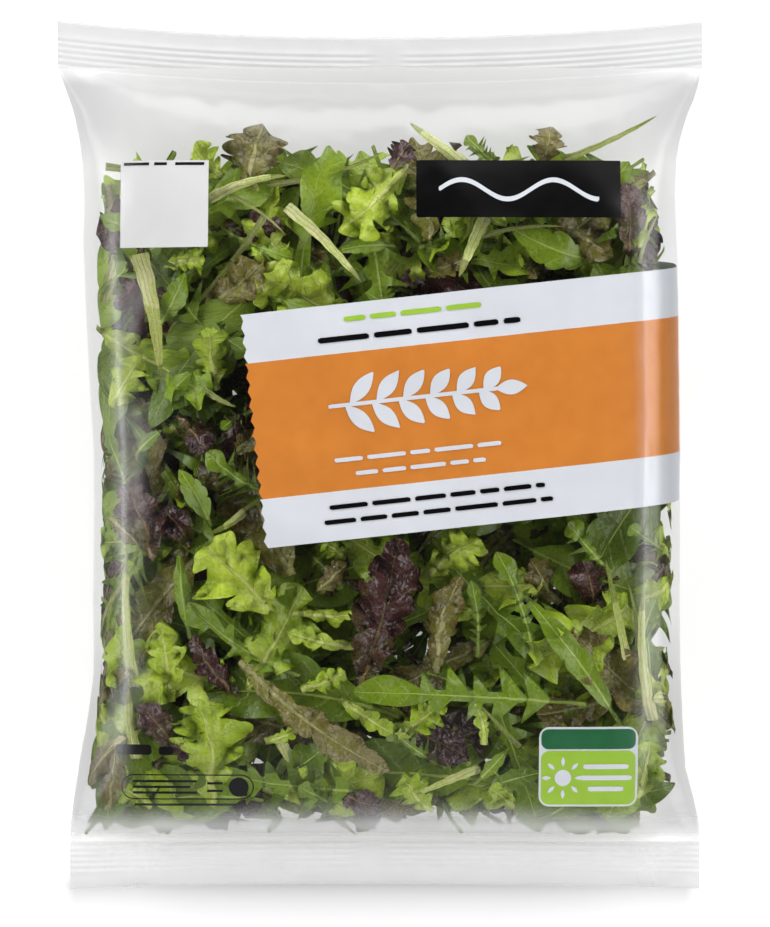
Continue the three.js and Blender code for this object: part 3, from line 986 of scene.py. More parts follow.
def heap_tree():
    """Stacked sheets with leaves scattered on them, and the identifiers of its named inputs."""
    tree = bpy.data.node_groups.new("leaf_heap", "GeometryNodeTree")
    tree.interface.new_socket("Geometry", in_out="OUTPUT", socket_type="NodeSocketGeometry")
    names = {
        "Width": ("NodeSocketFloat", 0.16), "Length": ("NodeSocketFloat", 0.2),
        "Layer Gap": ("NodeSocketFloat", 0.004), "Layers": ("NodeSocketInt", 10),
        "Leaves Apart": ("NodeSocketFloat", 0.02), "Tilt": ("NodeSocketFloat", 0.3),
        "Smallest": ("NodeSocketFloat", 0.8), "Largest": ("NodeSocketFloat", 1.2),
        "Seed": ("NodeSocketInt", 1), "Leaves": ("NodeSocketCollection", None),
        "Skin": ("NodeSocketMaterial", None),
    }
    keys = {name: group_input(tree, name, *kind) for name, kind in names.items()}
    given = tree.nodes.new("NodeGroupInput").outputs
    sheet = add_node(tree, "GeometryNodeMeshGrid", Size_X=given["Width"], Size_Y=given["Length"],
                     Vertices_X=2, Vertices_Y=2)
    gap = add_node(tree, "ShaderNodeCombineXYZ", Z=given["Layer Gap"])
    stack = add_node(tree, "GeometryNodeMeshLine", Count=given["Layers"], Offset=gap.outputs[0])
    sheets = add_node(tree, "GeometryNodeInstanceOnPoints", Points=stack.outputs[0],
                      Instance=sheet.outputs[0])
    sheets = add_node(tree, "GeometryNodeRealizeInstances", Geometry=sheets.outputs[0])
    spots = add_node(tree, "GeometryNodeDistributePointsOnFaces", {"distribute_method": "POISSON"},
                     Mesh=sheets.outputs[0], Distance_Min=given["Leaves Apart"], Density_Max=4000.0,
                     Seed=given["Seed"])
    shapes = add_node(tree, "GeometryNodeCollectionInfo", Collection=given["Leaves"],
                      Separate_Children=True, Reset_Children=True)
    least = add_node(tree, "ShaderNodeCombineXYZ", Z=-math.pi)
    most = add_node(tree, "ShaderNodeCombineXYZ", X=given["Tilt"], Y=given["Tilt"], Z=math.pi)
    less = math_node(tree, "MULTIPLY", given["Tilt"], -1.0)
    tree.links.new(less, least.inputs["X"])
    tree.links.new(less, least.inputs["Y"])
    turn = add_node(tree, "FunctionNodeRandomValue", {"data_type": "FLOAT_VECTOR"}, Min=least.outputs[0],
                    Max=most.outputs[0], Seed=given["Seed"])
    size = add_node(tree, "FunctionNodeRandomValue", {"data_type": "FLOAT"}, Min=given["Smallest"],
                    Max=given["Largest"], Seed=given["Seed"])
    heap = add_node(tree, "GeometryNodeInstanceOnPoints", Points=spots.outputs["Points"],
                    Instance=shapes.outputs[0], Pick_Instance=True, Rotation=turn.outputs["Value"],
                    Scale=size.outputs[1])
    number = add_node(tree, "GeometryNodeInputIndex")
    heap = add_node(tree, "GeometryNodeStoreNamedAttribute", {"data_type": "INT", "domain": "INSTANCE"},
                    Geometry=heap.outputs[0], Name="leaf_number", Value=number.outputs[0])
    tint = add_node(tree, "FunctionNodeRandomValue", {"data_type": "FLOAT"}, Seed=77)
    heap = add_node(tree, "GeometryNodeStoreNamedAttribute", {"data_type": "FLOAT", "domain": "INSTANCE"},
                    Geometry=heap.outputs[0], Name="leaf_tint", Value=tint.outputs[1])
    heap = add_node(tree, "GeometryNodeRealizeInstances", Geometry=heap.outputs[0])
    heap = add_node(tree, "GeometryNodeSetMaterial", Geometry=heap.outputs[0], Material=given["Skin"])
    done = tree.nodes.new("NodeGroupOutput")
    tree.links.new(heap.outputs[0], done.inputs[0])
    return tree, keys


HEAP_TREE, HEAP_KEYS = heap_tree()

# %% [markdown]
# A leaf's skin is read in the leaf's own measures, which ride along as an attribute: how
# far along it, how far from the midrib and how far from the margin a point is. Side veins
# are lines where the first less a share of the second comes round again, so they fork
# forward from the midrib on every leaf, however it is bent.

# %% Leaf skins
SKINS = {
    # deep and light blade, vein, rib, margin, blade near the stalk; rib half width, vein
    # pitch, vein strength, how high the bumps are in mm, roughness
    "rocket": ((0.048, 0.085, 0.003), (0.290, 0.410, 0.022), (0.36, 0.48, 0.08), (0.36, 0.47, 0.09),
               (0.11, 0.20, 0.006), (0.18, 0.27, 0.02), 0.5, 7.0, 0.2, 0.35, 0.36),
    "frilly": ((0.125, 0.225, 0.003), (0.530, 0.640, 0.065), (0.56, 0.66, 0.13), (0.58, 0.65, 0.17),
               (0.27, 0.41, 0.008), (0.44, 0.52, 0.08), 0.8, 5.5, 0.25, 0.6, 0.34),
    "red": ((0.020, 0.006, 0.007), (0.115, 0.045, 0.040), (0.15, 0.09, 0.045), (0.20, 0.13, 0.05),
            (0.028, 0.007, 0.008), (0.120, 0.125, 0.018), 0.7, 5.0, 0.18, 1.1, 0.24),
    "bronze": ((0.055, 0.046, 0.005), (0.270, 0.250, 0.050), (0.33, 0.31, 0.10), (0.36, 0.34, 0.13),
               (0.070, 0.032, 0.012), (0.29, 0.30, 0.05), 0.9, 6.0, 0.22, 0.9, 0.28),
    "rib": ((0.300, 0.270, 0.050), (0.670, 0.680, 0.290), (0.24, 0.33, 0.03), (0.72, 0.72, 0.40),
            (0.26, 0.38, 0.02), (0.66, 0.62, 0.32), 0.1, 3.0, 0.60, 0.3, 0.32),
}
LEAF_SPECULAR = 0.48
RED_SPECULAR = 0.50
RIB_STREAKS = 2.2  # a rib's veins are this much closer across it
CLOUD_SCALE = 0.09  # of the clouds of lighter and darker green, for each millimetre
GRAIN_SCALE = 0.9
PUCKER_SCALE = 0.42
NOISE_RANGE = (0.3, 0.7)  # most of a noise's values lie between these
OWN_PLACE = 300.0  # millimetres that the pattern moves from the darkest leaf to the lightest
VEIN_WANDER = 2.2  # millimetres
STREAK_WANDER = 4.0
VEIN_FADE = (0.1, 0.5)  # millimetres from a vein's middle, where it starts to fade and is gone
RIB_FADE = (0.6, 1.1)  # the same for the midrib, in its own half widths
RIB_END = 1.15  # lengths of the leaf, where the midrib would have no width left
TINT_STRENGTH = 0.75  # how far a leaf's tint takes its blade from deep to light
CLOUD_LIGHTER = (0.04, 0.22)  # how far the clouds take it further
YOUNG_FADE = (0.6, 1.0)  # where the colour near the stalk starts to fade and is gone
YOUNG_STRENGTH = 0.8
MARGIN_WIDTH = 5.0
MARGIN_STRENGTH = 0.9
SPECKLE = (0.35, 0.65, 1.0, 1.13)  # a second noise range, and the brightness at its ends
GLOSS_SPREAD = (-0.10, 0.08)  # of the roughness, over the noise's range
RELIEF = {"pucker": 0.5, "vein": 0.35, "grain": 0.3, "rib": 0.5}  # shares of the bump's height
BUMP_STRENGTH = 0.9


def leaf_skin(name):
    """The skin of one kind of leaf, from its row of colours and measures."""
    deep, light, vein_colour, rib_colour, margin_colour, young = SKINS[name][:6]
    rib_half, pitch, vein_strength, rough, gloss = SKINS[name][6:]
    material, tree, shader = start_material(f"{name}_skin")
    place = read_number(tree, "leaf_place", "Vector")
    share = read_number(tree, "leaf_share")
    tint = read_number(tree, "leaf_tint")
    parts = add_node(tree, "ShaderNodeSeparateXYZ", Vector=place).outputs
    off_rib = math_node(tree, "ABSOLUTE", parts["Y"])
    own = add_node(tree, "ShaderNodeVectorMath", {"operation": "ADD"}, _0=place)
    shift = math_node(tree, "MULTIPLY", tint, OWN_PLACE)
    tree.links.new(add_node(tree, "ShaderNodeCombineXYZ", X=shift, Y=shift).outputs[0], own.inputs[1])
    flat = {"noise_dimensions": "2D"}
    cloud, grain = (add_node(tree, "ShaderNodeTexNoise", flat, Vector=own.outputs[0], Scale=scale,
                             Detail=1.0).outputs["Fac"] for scale in (CLOUD_SCALE, GRAIN_SCALE))
    pucker = add_node(tree, "ShaderNodeTexVoronoi", {"voronoi_dimensions": "2D"},
                      Vector=own.outputs[0], Scale=PUCKER_SCALE).outputs["Distance"]

    wander = math_node(tree, "MULTIPLY", grain, VEIN_WANDER)
    forward = math_node(tree, "SUBTRACT", parts["X"], math_node(tree, "MULTIPLY", off_rib, VEIN_SLOPE))
    if name == "rib":  # its veins are streaks along it
        forward = math_node(tree, "MULTIPLY", parts["Y"], RIB_STREAKS)
        wander = math_node(tree, "MULTIPLY", cloud, STREAK_WANDER)
    to_vein = math_node(tree, "PINGPONG", math_node(tree, "ADD", forward, wander), pitch / 2)
    side_vein = ramp_node(tree, to_vein, *VEIN_FADE, 1.0, 0.0)
    width = math_node(tree, "MULTIPLY", math_node(tree, "SUBTRACT", RIB_END, share), rib_half)
    midrib = ramp_node(tree, math_node(tree, "DIVIDE", off_rib, width), *RIB_FADE, 1.0, 0.0)

    level = math_node(tree, "ADD", math_node(tree, "MULTIPLY", tint, TINT_STRENGTH),
                      ramp_node(tree, cloud, *NOISE_RANGE, *CLOUD_LIGHTER), clamp=True)
    blade = blend_node(tree, level, deep, light)
    near_stalk = ramp_node(tree, math_node(tree, "ADD", share, cloud), *YOUNG_FADE, YOUNG_STRENGTH, 0.0)
    blade = blend_node(tree, near_stalk, blade, young)
    edge = ramp_node(tree, parts["Z"], 0.0, MARGIN_WIDTH, MARGIN_STRENGTH, 0.0)
    blade = blend_node(tree, math_node(tree, "MULTIPLY", edge, cloud), blade, margin_colour)
    blade = blend_node(tree, math_node(tree, "MULTIPLY", side_vein, vein_strength), blade, vein_colour)
    spots = ramp_node(tree, grain, *SPECKLE)
    blade = add_node(tree, "ShaderNodeVectorMath", {"operation": "SCALE"}, _0=blade, Scale=spots).outputs[0]
    colour = blend_node(tree, midrib, blade, rib_colour)
    tree.links.new(colour, shader.inputs["Base Color"])
    specular = RED_SPECULAR if name in ("red", "bronze") else LEAF_SPECULAR
    shader.inputs["Specular IOR Level"].default_value = specular

    dull = ramp_node(tree, grain, *NOISE_RANGE, *(gloss + spread for spread in GLOSS_SPREAD))
    tree.links.new(dull, shader.inputs["Roughness"])
    height = math_node(tree, "SUBTRACT", math_node(tree, "MULTIPLY", pucker, RELIEF["pucker"]),
                       math_node(tree, "MULTIPLY", side_vein, RELIEF["vein"]))
    height = math_node(tree, "ADD", height, math_node(tree, "MULTIPLY", grain, RELIEF["grain"]))
    height = math_node(tree, "ADD", height, math_node(tree, "MULTIPLY", midrib, RELIEF["rib"]))
    bump = add_node(tree, "ShaderNodeBump", Strength=BUMP_STRENGTH, Distance=rough * MM, Height=height)
    tree.links.new(bump.outputs[0], shader.inputs["Normal"])
    return material


SKIN_MATERIALS = {name: leaf_skin(name) for name in SKINS}
print("leaf skins", ", ".join(SKIN_MATERIALS))

# %% [markdown]
# The bed is a plain block of space, and the bag is a pillow. A point's share of the
# bed's depth becomes its share of the way from the back film to the front film, so no
# leaf leaves the bag and the heap thins out towards the seals as the film does. Before
# that, a leaf that would stick out at a side slides in as a whole, a random bit more
# than it needs, which keeps its shape and gives the heap a ragged edge.

# %% Fit the bed to the bag
FILM_GAP = 0.9  # between the leaves and the film
SIDE_RAGGED = 4.0
HEAP_BACK = {  # how far the heap stays back from the film at each side: heights on the bag, then mm
    -1: ((-118, -100, -70, -45, 10, 30, 45, 65, 80, 100),
         (2.0, -1.0, -1.0, -3.0, -5.0, -1.0, 7.0, 9.0, 6.0, 3.0)),
    1: ((-118, -100, -80, -60, 0, 20, 40, 55, 75, 100),
        (4.0, 1.0, -3.0, -6.0, -6.0, -3.0, 1.0, 5.0, 6.5, 5.5)),
}
TOP_END = 90
TOP_RAGGED = 9.0
BOTTOM_END = -118.0
BOTTOM_RAGGED = 4.5
SEAL_GAP = 2  # leaves end this far before a seal's line
SIDE_KNEE = 0.9  # share of the half width past which a leaf is squeezed
SQUEEZED = 0.08  # into this share more
DEPTH_KNEE = 0.03
LEAST_DEPTH = 0.2


def soft_limit(value, knee):
    """value, but never under 0, with a round corner about one knee wide."""
    return 0.5 * (value + np.sqrt(value * value + knee * knee))


def slide_in(points, number, seed):
    """Moves whole leaves away from the sides and ends of the bag."""
    rng = np.random.default_rng(seed)
    count = number.max() + 1
    size = np.bincount(number, minlength=count)
    middle_y = np.bincount(number, points[:, 1], count) / np.maximum(size, 1)
    most = np.full((count, 2), -1e9)
    least = np.full((count, 2), 1e9)
    np.maximum.at(most, number, points[:, :2])
    np.minimum.at(least, number, points[:, :2])
    slack = rng.uniform(0, 1, (count, 4)) ** 1.5
    right, left = (
        side * (np.interp(middle_y, GRID_Y, EDGE_GRID[side]) - np.interp(middle_y, *HEAP_BACK[side])
                - SIDE_RAGGED * slack[:, column])
        for column, side in enumerate((1, -1)))
    top = TOP_END + TOP_RAGGED * (slack[:, 2] - 0.5) * 2
    bottom = BOTTOM_END + BOTTOM_RAGGED * slack[:, 3]
    move_x = np.minimum(right - most[:, 0], 0) + np.maximum(left - least[:, 0], 0)
    move_y = np.minimum(top - most[:, 1], 0) + np.maximum(bottom - least[:, 1], 0)
    points[:, 0] += move_x[number]
    points[:, 1] += move_y[number]
    return points


def fit_to_bag(points):
    """Bed places to bag places, in millimetres."""
    x, y, z = points.T.copy()
    y = np.clip(y, -SEAL_LINE + SEAL_GAP, SEAL_LINE - SEAL_GAP)
    edge = half_width(x, y)
    past = np.abs(x) / edge
    squeezed = SIDE_KNEE + SQUEEZED * np.tanh((past - SIDE_KNEE) / SQUEEZED)
    kept = np.where(past > SIDE_KNEE, squeezed, past)
    x = np.sign(x) * kept * edge
    share = z / BED_DEPTH
    share = soft_limit(share, DEPTH_KNEE)
    share = 1 - soft_limit(1 - share, DEPTH_KNEE)
    front = read_grid(FRONT_GRID, x, y) - FILM_GAP
    back = read_grid(BACK_GRID, x, y) + FILM_GAP
    return np.column_stack([x, y, back + share * np.maximum(front - back, LEAST_DEPTH)])


# %% [markdown]
# Each kind of leaf becomes one piece, because thousands of objects would be slow to
# render and to hand over. A dozen shapes of the kind are cut and the tree scatters them.
# Its result is turned into a plain mesh, and the leaves of that kind that show are added
# to the same arrays before the whole bed is bent into the bag.

# %% Shapes for the scatter
SCATTER = {
    # piece: habits used, lengths and widths in mm, leaves apart, seed
    "rocket": (("rocket", "rocket", "rocket", "plain"), (52, 76), (18, 28), 19.0, 3),
    "frilly": (("frilly",), (36, 60), (20, 34), 26.0, 5),
    "red": (("red",), (36, 58), (15, 26), 29.0, 8),
    "bronze": (("bronze",), (40, 64), (11, 22), 34.0, 13),
    "rib": (("rib",), (30, 62), (1.6, 4.5), 40.0, 21),
}
SHAPES_EACH = 12
HIDDEN_SPACING = 2.2
LAYERS = 9
TILT = 0.28
HEAP_TOP = 0.775  # of the bed's depth; what shows lies on top of it
# hidden leaves get darker tints than shown ones: painted shade in the gaps between leaves
HIDDEN_TINT = 0.62
HIDDEN_PRESS = 0.3
SEEDS_EACH = 100
SHOWN_SEEDS = 1000
BED_WIDTH = 176
BED_LENGTH = 216
SIZES = (0.75, 1.15)


def shape_collection(name, habits, lengths, widths, seed):
    """A dozen leaves of one kind as objects, for the tree to pick from."""
    rng = np.random.default_rng(seed)
    shapes = bpy.data.collections.new(f"{name}_shapes")
    for i in range(SHAPES_EACH):
        solid, faces, rims, place, share = make_leaf(
            habits[i % len(habits)], rng.uniform(*lengths), rng.uniform(*widths), SEEDS_EACH * seed + i,
            HIDDEN_SPACING, HIDDEN_PRESS)
        mesh = mesh_of(f"{name}_{i}", solid, faces, rims, {"leaf_place": place, "leaf_share": share})
        shapes.objects.link(bpy.data.objects.new(f"{name}_{i}", mesh))
    return shapes


def scatter(name):
    """The hidden leaves of one kind, scattered in the bed, as one plain mesh."""
    habits, lengths, widths, apart, seed = SCATTER[name]
    shapes = shape_collection(name, habits, lengths, widths, seed)
    bed = bpy.data.objects.new("bed", bpy.data.meshes.new("bed"))
    scene.collection.objects.link(bed)
    modifier = bed.modifiers.new("heap", "NODES")
    modifier.node_group = HEAP_TREE
    values = {"Width": BED_WIDTH * MM, "Length": BED_LENGTH * MM, "Layer Gap": BED_DEPTH / LAYERS * MM,
              "Layers": LAYERS, "Leaves Apart": apart * MM, "Tilt": TILT, "Smallest": SIZES[0],
              "Largest": SIZES[1], "Seed": seed, "Leaves": shapes, "Skin": SKIN_MATERIALS[name]}
    for key, value in values.items():
        modifier[HEAP_KEYS[key]] = value
    evaluated = bed.evaluated_get(bpy.context.evaluated_depsgraph_get())
    mesh = bpy.data.meshes.new_from_object(evaluated)
    bpy.data.objects.remove(bed)
    for shape in list(shapes.objects):
        bpy.data.objects.remove(shape)
    return mesh


# %% Join what shows and what is hidden


def read_layer(mesh, name, width=1, kind=float):
    """A number stored on a mesh's points as an array, or a vector as rows of three."""
    flat = np.empty(len(mesh.attributes[name].data) * width, np.int32 if kind is int else np.float32)
    mesh.attributes[name].data.foreach_get("vector" if width == 3 else "value", flat)
    return flat.reshape(-1, width) if width > 1 else flat


def build_leaves(name, habits):
    """All leaves of one kind, shown ones and scattered ones, as one piece inside the film."""
    heap = scatter(name)
    points = coordinates(heap)
    number = read_layer(heap, "leaf_number", kind=int)
    points = slide_in(points, number, SCATTER[name][4])
    points[:, 2] = (points[:, 2] + 0.5 * BED_DEPTH / LAYERS) * HEAP_TOP
    faces = np.array([tuple(p.vertices) for p in heap.polygons])
    place = read_layer(heap, "leaf_place", 3)
    lighter = TOP_LIGHTER * step_up(points[:, 1], *TOP_RANGE)
    # the darker tint of the hidden leaves is painted shade in the gaps
    parts = [(points, faces, place[:, 2] < MARGIN,
              {"leaf_place": place, "leaf_share": read_layer(heap, "leaf_share"),
               "leaf_tint": HIDDEN_TINT * read_layer(heap, "leaf_tint") + lighter})]
    scattered = number.max() + 1
    bpy.data.meshes.remove(heap)
    for habit in habits:
        for i, row in enumerate(SHOWN_LEAVES[habit]):
            parts.append(lay_leaf(habit, row, SHOWN_SEEDS * (1 + list(HABITS).index(habit)) + i))
    points, faces, rims = join_parts(parts)
    numbers = {key: np.concatenate([part[3][key] for part in parts]) for key in parts[0][3]}
    mesh = mesh_of(f"{name}_leaves", fit_to_bag(points), faces, rims, numbers)
    piece = place_piece(mesh, SKIN_MATERIALS[name])
    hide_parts("salad_bag")
    print("scattered", scattered, "shown", len(parts) - 1)


# %% Fill the bag
build_leaves("rocket", ("rocket", "plain"))
build_leaves("frilly", ("frilly",))
build_leaves("red", ("red",))
build_leaves("bronze", ("bronze",))
build_leaves("rib", ("rib",))

# %% [markdown]
# The print is thin sheets of ink just under the film. A patch is an outline on the flat
# front, cut as a leaf is and dropped on the film. The wide band goes on round the right
# side to the back seam, so its places are measured along the film instead, with a
# table of how the film runs round the bag at each height. Where it turns down at the
# side it sees less light, so a number stored on its points makes the ink darker there.

# %% Print helpers
INK = 0.06
PATCH_SPACING = 2.0
INK_SPREAD = (-0.05, 0.08)  # of the roughness
INK_SPECULAR = 0.08


def lay_patch(name, loops, depth, material, spacing=PATCH_SPACING):
    """Flat outlines dropped on the front film, depth under it, as one thin piece."""
    sheets = []
    for loop in loops:
        flat, triangles, _, _ = cut_flat(even_loop(np.array(loop, float), min(spacing, 1.0)), spacing)
        z = read_grid(FRONT_GRID, *flat.T) - depth
        sheets.append(close_sheet(np.column_stack([flat, z]), np.column_stack([flat, z - INK]), triangles))
    return place_piece(mesh_of(name, *join_parts(sheets)), material)


def close_sheet(top, low, triangles):
    """Top and under side of a sheet with a wall round its open edges."""
    count = len(top)
    sides = np.vstack([triangles[:, [0, 1]], triangles[:, [1, 2]], triangles[:, [2, 0]]])
    present = {tuple(side) for side in sides.tolist()}
    open_sides = np.array([side for side in sides.tolist() if (side[1], side[0]) not in present])
    a, b = open_sides.T
    wall = np.vstack([np.column_stack([b, a, a + count]), np.column_stack([b, a + count, b + count])])
    faces = np.vstack([triangles, triangles[:, ::-1] + count, wall])
    rims = np.zeros(2 * count, bool)
    rims[open_sides.ravel()] = True
    rims[open_sides.ravel() + count] = True
    return np.vstack([top, low]), faces, rims


def ink(name, colour, other, roughness=0.45):
    """Ink seen through film: nearly one colour, with the faint mottle of a printing roller."""
    material, tree, shader = start_material(name)
    where = add_node(tree, "ShaderNodeTexCoord").outputs["Object"]
    mottle = add_node(tree, "ShaderNodeTexNoise", Vector=where, Scale=180.0, Detail=4.0).outputs["Fac"]
    mixed = blend_node(tree, ramp_node(tree, mottle, 0.35, 0.65), colour, other)
    shaded = blend_node(tree, read_number(tree, "side_shade"), mixed, (0, 0, 0))
    tree.links.new(shaded, shader.inputs["Base Color"])
    dull = ramp_node(tree, mottle, *NOISE_RANGE, *(roughness + spread for spread in INK_SPREAD))
    tree.links.new(dull, shader.inputs["Roughness"])
    shader.inputs["Specular IOR Level"].default_value = INK_SPECULAR
    bump = add_node(tree, "ShaderNodeBump", Strength=0.15, Distance=0.05 * MM, Height=mottle)
    tree.links.new(bump.outputs[0], shader.inputs["Normal"])
    return material


WHITE_INK = ink("white_ink", (0.75, 0.775, 0.825), (0.77, 0.80, 0.85))
ORANGE_INK = ink("orange_ink", (0.69, 0.236, 0.039), (0.73, 0.257, 0.044))
DARK_INK = ink("dark_ink", (0.0010, 0.0010, 0.0014), (0.0016, 0.0016, 0.0022))
LIME_INK = ink("lime_ink", (0.36, 0.60, 0.05), (0.39, 0.63, 0.06))
FOREST_INK = ink("forest_ink", (0.022, 0.14, 0.055), (0.026, 0.16, 0.065))
GREY_INK = ink("grey_ink", (0.73, 0.73, 0.735), (0.75, 0.75, 0.755))

# %% Run round the bag
RUN_ROWS = np.arange(-40, 80, 3.0)
RUN_POINTS = 90  # on each sheet, closer together near the side


def film_run(y):
    """The film's path at one height of the bag, from the middle of the front round the right side."""
    edge = np.interp(y, GRID_Y, EDGE_GRID[1]) - EDGE_STEP
    shares = np.sin(np.linspace(0, math.pi / 2, RUN_POINTS))
    path = []
    for way, order in ((-1, shares), (1, shares[::-1])):
        for share in order:
            hit = probe(share * edge, y, way)
            path.append((hit.x / MM, hit.z / MM))
    path = np.array(path)
    arc = np.concatenate([[0], np.cumsum(np.hypot(*np.diff(path, axis=0).T))])
    return arc, path


RUNS = [film_run(y) for y in RUN_ROWS]
print("front middle to back middle in mm", round(RUNS[0][0][-1], 1))


def on_the_run(arc, y):
    """Place on the film a distance along it from the front's middle line."""
    row = np.clip((y - RUN_ROWS[0]) / (RUN_ROWS[1] - RUN_ROWS[0]), 0, len(RUN_ROWS) - 1.001)
    j = int(row)
    share = row - j
    found = [np.array([np.interp(arc, RUNS[k][0], RUNS[k][1][:, i]) for i in (0, 1)]) for k in (j, j + 1)]
    return found[0] * (1 - share) + found[1] * share


# %% The label band
BAND_TILT = math.radians(6.2)
BAND_START = (-39.0, 6.9)  # the middle of its left end
BAND_LENGTH = 223
STRIPE = {"top": (20.8, 35.8), "middle": (-20.8, 20.8), "bottom": (-35.8, -20.8)}
TOOTH = 4.4
TOOTH_DEPTH = 1.1
BAND_DEPTH_UNDER_FILM = 0.4
BAND_COLUMNS = 1.6  # millimetres from one column of points to the next
BAND_SHADE = 0.42  # darker by this where it turns down at the side
SHADE_SIDE = (83, 90)  # from the middle of the bag, where that shade starts and is full
SHADE_HEIGHT = (6, 16)  # the same above the table


def on_band(along, across):
    """A place on the band, from the middle of its left end, before it is bent round the bag."""
    return (BAND_START[0] + along * math.cos(BAND_TILT) - across * math.sin(BAND_TILT),
            BAND_START[1] + along * math.sin(BAND_TILT) + across * math.cos(BAND_TILT))


def band_sheet(name, stripes, material):
    """Stripes of the band as one thin piece that follows the film."""
    sheets = []
    for low, high in stripes:
        rows = np.linspace(low, high, max(2, round((high - low) / (TOOTH / 4)) + 1))
        columns = np.arange(0, BAND_LENGTH + 0.1, BAND_COLUMNS)
        tooth = TOOTH_DEPTH * np.abs(((rows - low) / TOOTH) % 1 * 2 - 1)
        top, under = [], []
        for row, notch in zip(rows, tooth):
            for i, column in enumerate(columns):
                u, v = on_band(column + (notch if i == 0 else 0), row)
                if u < 0:
                    place = np.array([u, v, read_grid(FRONT_GRID, np.array([u]), np.array([v]))[0]])
                else:
                    x, z = on_the_run(u, v)
                    place = np.array([x, v, z])
                near, normal, _, _ = film_skin.find_nearest(Vector(place) * MM)
                near = np.array(near) / MM
                normal = np.array(normal)
                top.append(near - normal * BAND_DEPTH_UNDER_FILM)
                under.append(near - normal * (BAND_DEPTH_UNDER_FILM + INK))
        across = len(columns)
        corner = (np.arange(len(rows) - 1)[:, None] * across + np.arange(across - 1)).ravel()
        triangles = np.vstack([np.column_stack([corner, corner + 1, corner + across + 1]),
                               np.column_stack([corner, corner + across + 1, corner + across])])
        sheets.append(close_sheet(np.array(top), np.array(under), triangles))
    points, faces, rims = join_parts(sheets)
    mesh = mesh_of(name, points, faces, rims)
    shade = BAND_SHADE * step_up(points[:, 0], *SHADE_SIDE) * step_up(points[:, 2], *SHADE_HEIGHT)
    keep_number(mesh, "side_shade", shade)
    return place_piece(mesh, material)


band_sheet("white_stripes", (STRIPE["top"], STRIPE["bottom"]), WHITE_INK)
band_sheet("orange_stripe", (STRIPE["middle"],), ORANGE_INK)

# %% [markdown]
# The small print is plain shapes: rectangles with round corners, pointed ovals for the
# leaves of a sprig, and bars with gaps between them. Each is worked out flat, in the
# band's own measures where it lies on the band, and is then dropped on the film. Shapes
# of one colour that belong together are one piece, as one pass of a printing press.

# %% Outlines for the small print


def rectangle(x, y, width, height, turn=0.0, corner=0.0):
    """A rectangle round its middle, with round corners if asked."""
    loop = []
    for sx, sy, start in ((1, 1, 0), (-1, 1, 90), (-1, -1, 180), (1, -1, 270)):
        for step in np.linspace(0, 90, 6 if corner else 1):
            a = math.radians(start + step)
            loop.append((sx * (width / 2 - corner) + corner * math.cos(a),
                         sy * (height / 2 - corner) + corner * math.sin(a)))
    return turned(loop, x, y, turn)


def turned(loop, x, y, turn):
    """A loop turned about its own origin and then moved to x, y."""
    c, s = math.cos(turn), math.sin(turn)
    return [(x + c * px - s * py, y + s * px + c * py) for px, py in loop]


def leaf_mark(x, y, length, width, turn):
    """A plain pointed oval, stalk end at x, y."""
    share = np.linspace(0, 1, 12)
    side = width / 2 * np.sin(math.pi * share)
    loop = list(zip(share * length, side)) + list(zip(share[-2:0:-1] * length, -side[-2:0:-1]))
    return turned(loop, x, y, turn)


def bar_line(along, across, length, height, seed):
    """A row of plain bars on the band, of uneven lengths with even gaps."""
    rng = np.random.default_rng(seed)
    bars = []
    place = along - length / 2
    while place < along + length / 2 - 2 * height:
        run = min(rng.uniform(4, 9.5) * height, along + length / 2 - place)
        bars.append(rectangle(*on_band(place + run / 2, across), run, height, BAND_TILT, 0.3 * height))
        place += run + 0.9 * height
    return bars


# %% Panels and marks
UNDER_FILM = 0.22
OVER_PRINT = 0.1  # a mark lies this much nearer the film than the patch under it
LINE_SPACING = 1.2
lay_patch("date_panel", [rectangle(-66.1, 76.8, 27.2, 26.9)], UNDER_FILM, GREY_INK)
lay_patch("date_marks", [rectangle(x, 89.2, w, 0.9) for x, w in ((-74.8, 8), (-67.3, 4), (-58.3, 9))],
          UNDER_FILM - 0.08, DARK_INK, LINE_SPACING)
lay_patch("black_plate", [rectangle(42.4, 81.2, 62.6, 17.7)], UNDER_FILM, DARK_INK)
WAVE_RUN = (18, 67)
WAVE_HALF = 0.75  # half the thickness of its line
wave_x = np.linspace(*WAVE_RUN, 60)
wave_y = 81.0 + 3.0 * np.sin((wave_x - WAVE_RUN[0]) / (WAVE_RUN[1] - WAVE_RUN[0]) * 3.5 * math.pi)
wave = list(zip(wave_x, wave_y + WAVE_HALF)) + list(zip(wave_x[::-1], wave_y[::-1] - WAVE_HALF))
lay_patch("plate_mark", [wave], UNDER_FILM - OVER_PRINT, WHITE_INK, 1.0)

SPRIG_LEAVES = 6
sprig = [rectangle(*on_band(50, 5), 52, 1.2, BAND_TILT)]
for i in range(SPRIG_LEAVES):
    for side in (-1, 1):
        x, y = on_band(29 + 8.2 * i + (1.5 if side > 0 else 0), 5)
        sprig.append(leaf_mark(x, y, 12.5 - 0.7 * i, 4.8, BAND_TILT + side * math.radians(48)))
sprig.append(leaf_mark(*on_band(75, 5), 10, 4.6, BAND_TILT))
lay_patch("sprig_mark", sprig, UNDER_FILM, WHITE_INK, 1.4)
pale_lines = bar_line(50, -11.5, 52, 1.3, 1) + bar_line(50, -16, 40, 1.3, 2)
lay_patch("pale_lines", pale_lines, UNDER_FILM, WHITE_INK, LINE_SPACING)
lay_patch("green_line", bar_line(54, 31.0, 45, 1.5, 3), UNDER_FILM, LIME_INK,
          LINE_SPACING)
dark_lines = (bar_line(54, 25.2, 62, 1.7, 4) + bar_line(54, -25.6, 66, 1.4, 5)
              + bar_line(54, -30.0, 70, 1.4, 6))
lay_patch("dark_lines", dark_lines, UNDER_FILM, DARK_INK, LINE_SPACING)

# %% Box of facts and weight bars


